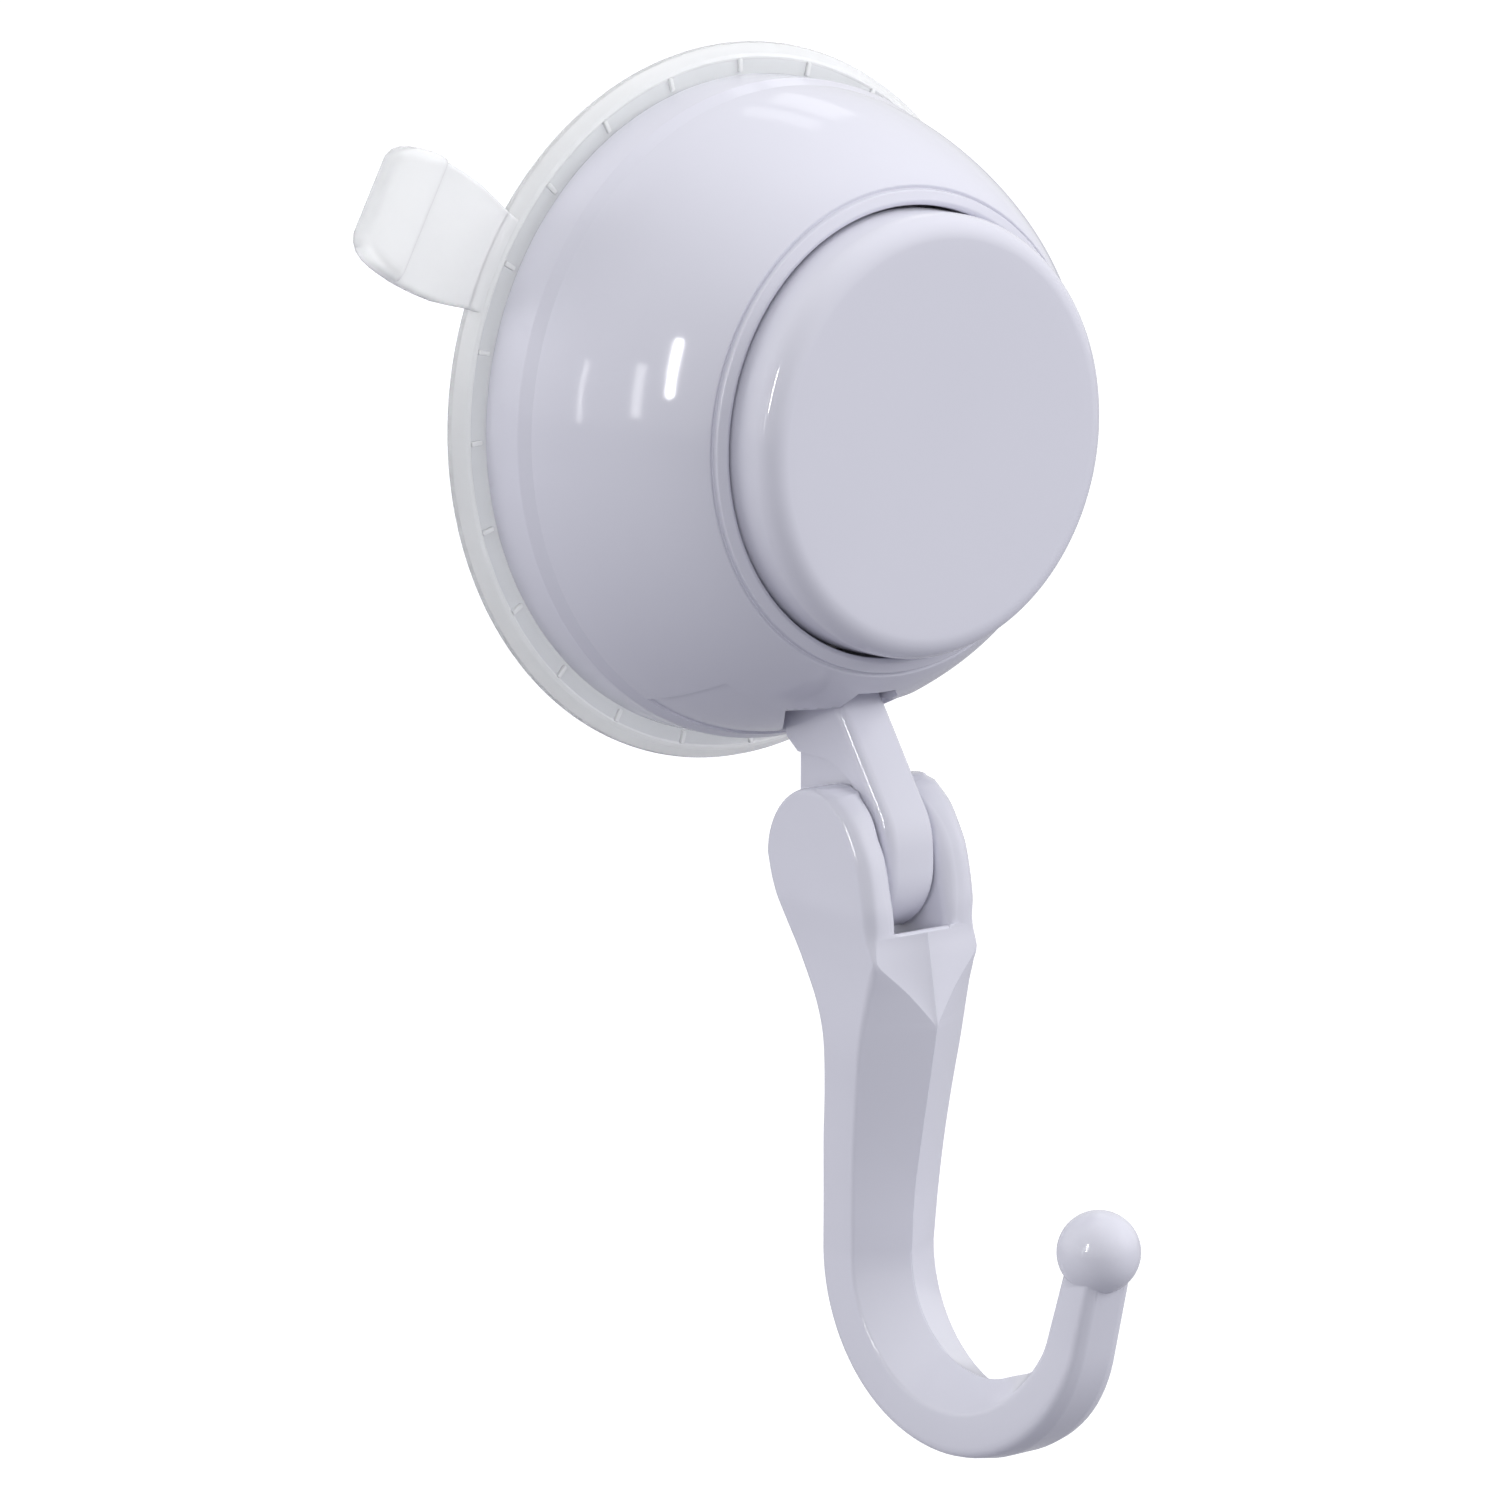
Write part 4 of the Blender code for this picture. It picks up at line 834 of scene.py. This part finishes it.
hook = {
    "pivot": (-17.9, -36.1), "halfWidth": 6.0, "earRadius": 6.2, "earRound": 0.75, "topRound": 0.45,
    "slotHalfWidth": 2.7, "slotFloor": 6.4, "slotSlope": 16, "slotLength": 18.4, "slotBack": -19.0,
    # (depth in the slot, radius of its mouth)
    "slotRounds": ((-5.5, 0.3), (-1.5, 1.4), (3.0, 1.4), (6.0, 1.0)), "slotSteps": 40,
    "lipRound": 0.4, "lipSteps": 7, "socketRadius": 1.8, "socketEnd": 4.15,
    "edge": 0.55, "facetEdge": 0.9, "facetEdgeEnd": 15, "facetEdgeFade": 6, "soft": 0.75,
    "bendSoft": 1.3, "mouthEdge": 0.18, "bow": 0.35, "seam": 0.13, "flatEdges": (0.9, 0.12),
    "crownHalf": 1.5, "crown": 0.9, "endCrown": 0.4, "crownStart": 5.2, "crownRise": 8,
    "earSteps": 16, "shankSteps": 90, "facetSteps": 12, "bendSteps": 44, "tipSteps": 8,
    # Lines are (drop below the pivot, distance in front of it).
    "front": (
        (-6.3, 2.35), (-4.8, 4.3), (-3.1, 5.5), (-1.4, 6.4), (2.4, 7.25), (5.2, 7.4), (6.9, 7.7),
        (12.6, 8.7),
    ),
    "ridge": ((12.6, 8.7), (16.0, 8.05), (21.4, 7.0), (27.1, 6.0), (32.3, 5.7)),
    "side": (
        (-6.3, 1.4), (-5.3, 2.4), (-3.3, 3.9), (-0.7, 4.9), (2.4, 6.0), (4.9, 6.6), (6.9, 7.2),
        (8.2, 6.95), (9.9, 6.42), (14.4, 5.4), (18.7, 4.7), (22.9, 4.1), (27.4, 3.7), (32.3, 3.4),
    ),
    "back": (
        (-0.5, -6.1), (1.9, -5.4), (5.2, -3.7), (8.0, -2.0), (11.4, -0.1), (14.4, 0.7), (18.7, 0.5),
        (22.9, 0.1), (32.3, -0.5),
    ),
    "taper": ((3.0, 0.0), (6.9, 0.35), (14.4, 0.35), (18.7, 0.66), (22.9, 0.92), (27.4, 1.21), (32.3, 1.47)),
    "facets": (6.9, 12.6), "facetEase": 3.4, "facetSlope": 0.19,
    "bendDrop": 32.3, "bendForward": 14.4, "bendRadius": 11.0, "bendEndHalf": 2.5, "ridgeHold": 112,
    "tipLean": 16, "tipLength": 8.5, "tipHalf": 2.4, "tipThick": 2.8, "tipTaper": 0.6,
    "ball": 3.4, "ballReach": 12.4,
}


def clamped(share):
    return min(max(share, 0), 1)


def eased(share):
    return share * share * (3 - 2 * share)


def hookSection(s, middle, outward, reaches, widths, rounds):
    # One ring of the hook: the front with its seam, the facets, the sides and the crowned back.
    front, bowed, near, far, crown = reaches
    halfWidth, flat = widths
    flatEdge, edge, soft = rounds
    crownHalf = min(s["crownHalf"], halfWidth - 0.4)
    corners = [
        (flat, bowed, flatEdge), (halfWidth, near, edge), (halfWidth, far, soft), (crownHalf, crown, soft),
    ]
    mirrored = [(-x, reach, radius) for x, reach, radius in reversed(corners)]
    seam = min(s["seam"], flat * 0.6)
    atSeam = front - (front - bowed) * seam / max(flat, 0.01)
    seamLine = [(-seam, atSeam, 0), (0, front + seam * 0.9, 0), (seam, atSeam, 0)]
    outline = filletLine(seamLine + corners + mirrored, 4)
    return [(middle + outward * reach + Vector((x, 0, 0))) * mm for x, reach in outline]


def frontAt(s, drop):
    return smoothAlong(s["front"] if drop < s["facets"][1] else s["ridge"], drop)


def slotRing(half, mouth, curve, depth, start):
    # One side of the slot, round the ear's front edge to well outside it, and its mirror image.
    # The last point of start stands for the arc's first.
    arc = arcLine((half + curve, mouth - curve), curve, math.pi, math.pi / 2, 8)
    far = half + curve + 1.5
    side = start + arc[len(start) - 1:] + [(far, mouth + 0.6), (far, mouth + 9)]
    outline = side + [(-x, forward) for x, forward in reversed(side)]
    return [Vector((x, -forward, -depth)) * mm for x, forward in outline]


def slotMesh(s):
    # The slot leans, and its mouth is rounded along the front of both ears.
    slope = math.radians(s["slotSlope"])
    half = s["slotHalfWidth"]
    rings = []
    for step in range(s["slotSteps"] + 1):
        depth = s["slotFloor"] - s["slotLength"] * (1 - step / s["slotSteps"])
        # The mouth is where the leaning slot meets the hook's front.
        mouth = 6.0
        for _ in range(20):
            drop = depth * math.cos(slope) - mouth * math.sin(slope)
            mouth += (frontAt(s, drop) - mouth * math.cos(slope) - depth * math.sin(slope)) * 0.7
        mouth -= s["bow"]
        curve = straightAlong(s["slotRounds"], depth)
        rings.append(slotRing(half, mouth, curve, depth, [(half, s["slotBack"])]))
    # The front edge of the slot's floor is rounded too.
    for step in range(s["lipSteps"]):
        angle = math.radians(13 * step)
        curve = s["lipRound"] * (1.02 - math.sin(angle))
        depth = s["slotFloor"] + s["lipRound"] * (1 - math.cos(angle)) + 0.002
        rings.append(slotRing(half, mouth, curve, depth, [(half, mouth - curve), (half, mouth - curve * 0.98)]))
    return loftMesh("slot", rings)


def shankRings(s, pivot):
    earDrop = s["back"][0][0]
    earMiddle = s["back"][0][1] + s["earRadius"]
    earTop = earDrop - s["earRadius"]
    facetStart, facetEnd = s["facets"]
    # The sections lie closer at the ear's top and where the facets start.
    earSteps, shankSteps, facetSteps = s["earSteps"], s["shankSteps"], s["facetSteps"]
    drops = [earDrop - s["earRadius"] * math.cos(math.pi / 2 * step / earSteps) for step in range(earSteps + 1)]
    drops[0] = earTop + 0.015
    drops += [earDrop + (s["bendDrop"] - earDrop) * step / shankSteps for step in range(1, shankSteps + 1)]
    drops += [facetStart + (facetEnd - facetStart) * step / facetSteps for step in range(facetSteps + 1)]
    drops.sort()
    outward = Vector((0, -1, 0))
    rings = []
    for index, drop in enumerate(drops[:-1]):
        if index > earSteps and drop - drops[index - 1] <= 0.12:
            continue
        back = smoothAlong(s["back"], drop)
        if drop < earDrop:
            back = earMiddle - math.sqrt(max(s["earRadius"] ** 2 - (drop - earDrop) ** 2, 0))
        front = frontAt(s, drop)
        near = smoothAlong(s["side"], drop)
        if drop < s["front"][0][0]:
            front = near = min(near, -back)
        halfWidth = s["halfWidth"] - smoothAlong(s["taper"], drop)
        topRound = s["topRound"]
        down = drop - earTop
        if down < topRound:
            halfWidth -= topRound - math.sqrt(topRound**2 - (topRound - down) ** 2)
        # The front is two planes that meet on X = 0. The side facets cut it where they come forward of it.
        ease = eased(clamped((drop - facetStart + s["facetEase"]) / s["facetEase"]))
        corner = min(s["earRound"], (front - back) * 0.25)
        bow = min(s["bow"], (front - back) * 0.08)
        near = (front - bow - corner) * (1 - ease) + near * ease
        flat = (halfWidth - corner) * (1 - ease) + (halfWidth - 0.3) * ease
        flatEdge = s["flatEdges"][0] * (1 - ease) + s["flatEdges"][1] * ease
        if drop > facetEnd:
            flat = 0.02 * halfWidth
        elif drop > facetStart:
            ridge = s["ridge"][0][1] + s["facetSlope"] * (facetEnd - drop)
            flat = halfWidth * min(max((ridge - front) / (ridge - near - bow), 0.02), 0.95)
        narrow = clamped((drop - s["crownStart"]) / s["crownRise"])
        soft = s["edge"] + (s["soft"] - s["edge"]) * narrow
        sharp = clamped((s["facetEdgeEnd"] - drop) / s["facetEdgeFade"])
        edge = s["edge"] + (s["facetEdge"] - s["edge"]) * sharp
        reaches = (front, front - bow * flat / halfWidth, near, back, back - s["crown"] * narrow)
        middle = pivot + Vector((0, 0, -drop))
        rings.append(hookSection(s, middle, outward, reaches, (halfWidth, flat), (flatEdge, edge, soft)))
    return rings


def bendRings(s, centre):
    startHalf = s["halfWidth"] - s["taper"][-1][1]
    startThick = s["side"][-1][1] - s["back"][-1][1]
    startRidge = s["ridge"][-1][1] - s["side"][-1][1]
    endAngle = math.pi - math.radians(s["tipLean"])
    rings = []
    for step in range(s["bendSteps"] + 1):
        share = step / s["bendSteps"]
        angle = endAngle * share
        outward = Vector((0, math.cos(angle), -math.sin(angle)))
        # The ridge fades out before the tip.
        fade = max((math.degrees(angle) - s["ridgeHold"]) / (180 - s["tipLean"] - s["ridgeHold"]), 0)
        inner = s["bendRadius"] - (startRidge + (0.2 - startRidge) * eased(fade))
        half = startHalf - (startHalf - s["bendEndHalf"]) * share**2.2
        outer = s["bendRadius"] + startThick - (startThick - s["tipThick"] - s["tipTaper"]) * share
        crown = outer + s["crown"] + (s["endCrown"] - s["crown"]) * min(share * 2, 1)
        reaches = (inner, inner + 0.02, s["bendRadius"], outer, crown)
        rounds = (s["flatEdges"][1], s["edge"] + 0.4 * fade, s["soft"] + (s["bendSoft"] - s["soft"]) * share)
        rings.append(hookSection(s, centre, outward, reaches, (half, 0.1 + 1.0 * fade), rounds))
    return rings


def tipRings(s, centre, outward, upward):
    rings = []
    for step in range(1, s["tipSteps"] + 1):
        share = step / s["tipSteps"]
        middle = centre + upward * s["tipLength"] * share
        inner = s["bendRadius"] + 0.3 * share
        outer = inner + s["tipThick"] + s["tipTaper"] * (1 - share)
        half = s["bendEndHalf"] + (s["tipHalf"] - s["bendEndHalf"]) * share
        reaches = (inner - 0.2 - 0.1 * share, inner - 0.18 - 0.1 * share, inner, outer, outer + s["endCrown"])
        rounds = (s["flatEdges"][1], s["edge"] + 0.4, s["bendSoft"])
        rings.append(hookSection(s, middle, outward, reaches, (half, 1.1 + 0.2 * share), rounds))
    return rings


def makeHook(s):
    pivot = Vector((0, *s["pivot"]))
    centre = pivot + Vector((0, -s["bendForward"], -s["bendDrop"]))
    lean = math.radians(s["tipLean"])
    outward = Vector((0, -math.cos(lean), -math.sin(lean)))
    upward = Vector((0, -math.sin(lean), math.cos(lean)))
    rings = shankRings(s, pivot) + bendRings(s, centre) + tipRings(s, centre, outward, upward)
    tip = centre + upward * s["tipLength"] + outward * s["ballReach"]
    ball = bmesh.new()
    turn = Matrix.Translation(tip * mm) @ Matrix.Rotation(math.radians(90), 4, "Y")
    bmesh.ops.create_uvsphere(ball, u_segments=64, v_segments=48, radius=s["ball"] * mm, matrix=turn)
    mesh = cutMesh(loftMesh("hook", rings), [finishMesh("ball", ball)], "UNION")
    slot = slotMesh(s)
    slot.transform(Matrix.Translation(pivot * mm) @ Matrix.Rotation(-math.radians(s["slotSlope"]), 4, "X"))
    sockets = barMesh("sockets", s["socketRadius"], s["socketEnd"], pivot)
    mesh = bevelMesh(cutMesh(mesh, [slot, sockets]), s["mouthEdge"], 55)
    addPiece("swingHook", mesh, hookPlastic, "hook", "hook_plastic", "hook", sharp=45)


makeHook(hook)

print("stage: spring and steel pieces")

spring = {
    "radius": 6.0, "wire": 0.45, "back": 11.8, "front": 19.5, "turns": 5.5, "endTurns": 0.8, "turnSteps": 40,
}


def makeSpring(s):
    # The end turns lie close together, as (turns, height) points.
    first = s["back"] + s["wire"]
    last = s["front"] - s["wire"]
    rise = s["endTurns"] * 2.25 * s["wire"]
    line = (
        (0, first), (s["endTurns"], first + rise),
        (s["turns"] - s["endTurns"], last - rise), (s["turns"], last),
    )
    curve = bpy.data.curves.new("returnSpring", "CURVE")
    curve.dimensions = "3D"
    curve.bevel_depth = s["wire"] * mm
    curve.bevel_resolution = 5
    curve.use_fill_caps = True
    count = round(s["turns"] * s["turnSteps"])
    path = curve.splines.new("POLY")
    path.points.add(count)
    for index, point in enumerate(path.points):
        turns = s["turns"] * index / count
        angle = 2 * math.pi * turns
        height = straightAlong(line, turns)
        point.co = (s["radius"] * math.cos(angle) * mm, -height * mm, s["radius"] * math.sin(angle) * mm, 1)
    mesh = evaluatedMesh(newObject("work", curve))
    piece = addPiece("returnSpring", mesh, springWire, "base", "spring_steel", "return_spring", sharp=60)
    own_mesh(piece)


makeSpring(spring)

nodeMaterials = {
    "pull_stud": turnedSteel, "spring_retainer": turnedSteel, "stud_nut": turnedSteel,
    "cover_screw_1": screwSteel, "cover_screw_2": screwSteel, "cover_screw_3": screwSteel,
}
for nodeName, material in nodeMaterials.items():
    for slot in bpy.data.objects[nodeName].material_slots:
        slot.material = material

print("stage: floor, lights and camera")

# Lengths of the studio and of the view are in metres.
studio = {
    "worldColor": (0.93, 0.94, 0.97, 1), "worldLevel": 0.51, "mirroredWorld": 0.52,
    "floorDrop": -0.30, "floorSize": 24.0, "floorRoughness": 0.9, "floorGlow": 0.95, "mirroredFloor": 0.32,
    "floorTones": ((0.20, 0.20, 0.24, 1), (0.22, 0.22, 0.265, 1)), "toneSize": 3.0,
    # name: (place, size across, size up, watts, aim)
    "lamps": {
        "keyRight": ((0.85, -0.75, 0.5), 0.7, 0.7, 10.0, (0, 0, -0.03)),
        "leftFront": ((-0.85, -0.7, 0.25), 0.7, 0.7, 3.5, (0, 0, -0.02)),
        "topSoft": ((0.12, 0.1, 0.95), 0.6, 0.4, 3.3, (0, 0, 0)),
        "leftWash": ((-0.9, 0.75, 0.1), 0.8, 0.8, 5.5, (0, 0, -0.03)),
    },
    # These are only mirrored by the glossy surfaces.
    "panes": {
        "brightStrip": ((-0.9, -0.25, 0.34), 0.055, 0.34, 2.2, (0, 0, 0)),
        "dimStrip": ((-0.965, -0.08, 0.19), 0.05, 0.3, 0.25, (0, 0, 0)),
        "farStrip": ((-0.965, 0.18, 0.14), 0.012, 0.32, 0.12, (0, 0, 0)),
        "topWindow": ((0.60, 0.50, 0.62), 0.16, 0.2, 0.06, (0, 0, 0)),
        "topPane": ((0.46, 0.42, 0.78), 0.2, 0.12, 0.05, (0, 0, 0)),
    },
}


def mixBySight(tree, mirroredShare, lighting, seen, output):
    # One shader lights the object. The camera sees the other, and the object mirrors a share of it.
    path = tree.nodes.new("ShaderNodeLightPath")
    direct = mathNode(tree, "MAXIMUM", path.outputs["Is Camera Ray"], path.outputs["Is Transmission Ray"])
    mirrored = mathNode(tree, "MULTIPLY", path.outputs["Is Glossy Ray"], mirroredShare)
    mix = tree.nodes.new("ShaderNodeMixShader")
    tree.links.new(mathNode(tree, "MAXIMUM", direct, mirrored), mix.inputs[0])
    tree.links.new(lighting, mix.inputs[1])
    tree.links.new(seen, mix.inputs[2])
    tree.links.new(mix.outputs[0], output.inputs["Surface"])


def makeWorld(s):
    world = bpy.data.worlds.new("studio")
    scene.world = world
    world.use_nodes = True
    tree = world.node_tree
    tree.nodes.clear()
    output = tree.nodes.new("ShaderNodeOutputWorld")
    shaders = []
    for color, level in ((s["worldColor"], s["worldLevel"]), ((1, 1, 1, 1), 1.0)):
        shader = tree.nodes.new("ShaderNodeBackground")
        shader.inputs["Color"].default_value = color
        shader.inputs["Strength"].default_value = level
        shaders.append(shader.outputs[0])
    mixBySight(tree, s["mirroredWorld"], *shaders, output)


def makeFloor(s):
    floorMesh = bpy.data.meshes.new("floor")
    half = s["floorSize"] / 2
    corners = [(x * half, y * half, s["floorDrop"]) for x, y in ((-1, -1), (1, -1), (1, 1), (-1, 1))]
    floorMesh.from_pydata(corners, [], [(0, 1, 2, 3)])
    floor = bpy.data.objects.new("floor", floorMesh)
    scene.collection.objects.link(floor)
    material = bpy.data.materials.new("paleFloor")
    material.use_nodes = True
    tree = material.node_tree
    shader = tree.nodes["Principled BSDF"]
    shader.inputs["Roughness"].default_value = s["floorRoughness"]
    clouds = noiseNode(tree, None, s["toneSize"], 2)
    tree.links.new(mixNode(tree, clouds, *s["floorTones"]), shader.inputs["Base Color"])
    glow = tree.nodes.new("ShaderNodeEmission")
    glow.inputs["Strength"].default_value = s["floorGlow"]
    add = tree.nodes.new("ShaderNodeAddShader")
    tree.links.new(shader.outputs[0], add.inputs[0])
    tree.links.new(glow.outputs[0], add.inputs[1])
    mixBySight(tree, s["mirroredFloor"], shader.outputs[0], add.outputs[0], tree.nodes["Material Output"])
    floorMesh.materials.append(material)


def makeLamps(s):
    for name, (place, across, up, watts, aim) in {**s["lamps"], **s["panes"]}.items():
        lamp = bpy.data.lights.new(name, "AREA")
        lamp.shape = "RECTANGLE"
        lamp.size = across
        lamp.size_y = up
        lamp.energy = watts
        holder = bpy.data.objects.new(name, lamp)
        holder.location = place
        holder.visible_camera = False
        holder.visible_glossy = name in s["panes"]
        holder.visible_diffuse = name in s["lamps"]
        toward = Vector(aim) - Vector(place)
        holder.rotation_euler = toward.to_track_quat("-Z", "Y").to_euler()
        scene.collection.objects.link(holder)


makeWorld(studio)
makeFloor(studio)
makeLamps(studio)

# Angles are in degrees, and the focal length is in pixels of the photograph.
view = {
    "azimuth": -39.66, "elevation": 11.05, "roll": 0.13, "distance": 0.650,
    "aimRight": 0.00161, "aimUp": -0.02965, "focal": 7735, "photoWidth": 1500, "sensorWidth": 36,
}


def makeCamera(s):
    azimuth, elevation, roll = (math.radians(s[key]) for key in ("azimuth", "elevation", "roll"))
    level = math.cos(elevation)
    back = Vector((math.sin(azimuth) * level, -math.cos(azimuth) * level, math.sin(elevation)))
    right = Vector((math.cos(azimuth), math.sin(azimuth), 0))
    up = back.cross(right)
    aim = right * s["aimRight"] + Vector((0, 0, s["aimUp"]))
    rolledRight = right * math.cos(roll) + up * math.sin(roll)
    rolledUp = up * math.cos(roll) - right * math.sin(roll)
    lens = bpy.data.cameras.new("photoView")
    lens.sensor_fit = "HORIZONTAL"
    lens.sensor_width = s["sensorWidth"]
    lens.lens = s["sensorWidth"] * s["focal"] / s["photoWidth"]
    lens.clip_start = 0.01
    lens.clip_end = 50
    camera = bpy.data.objects.new("photoView", lens)
    turn = Matrix((rolledRight, rolledUp, back)).transposed().to_4x4()
    camera.matrix_world = Matrix.Translation(aim + back * s["distance"]) @ turn
    scene.collection.objects.link(camera)
    scene.camera = camera


makeCamera(view)
scene.view_settings.view_transform = "Standard"
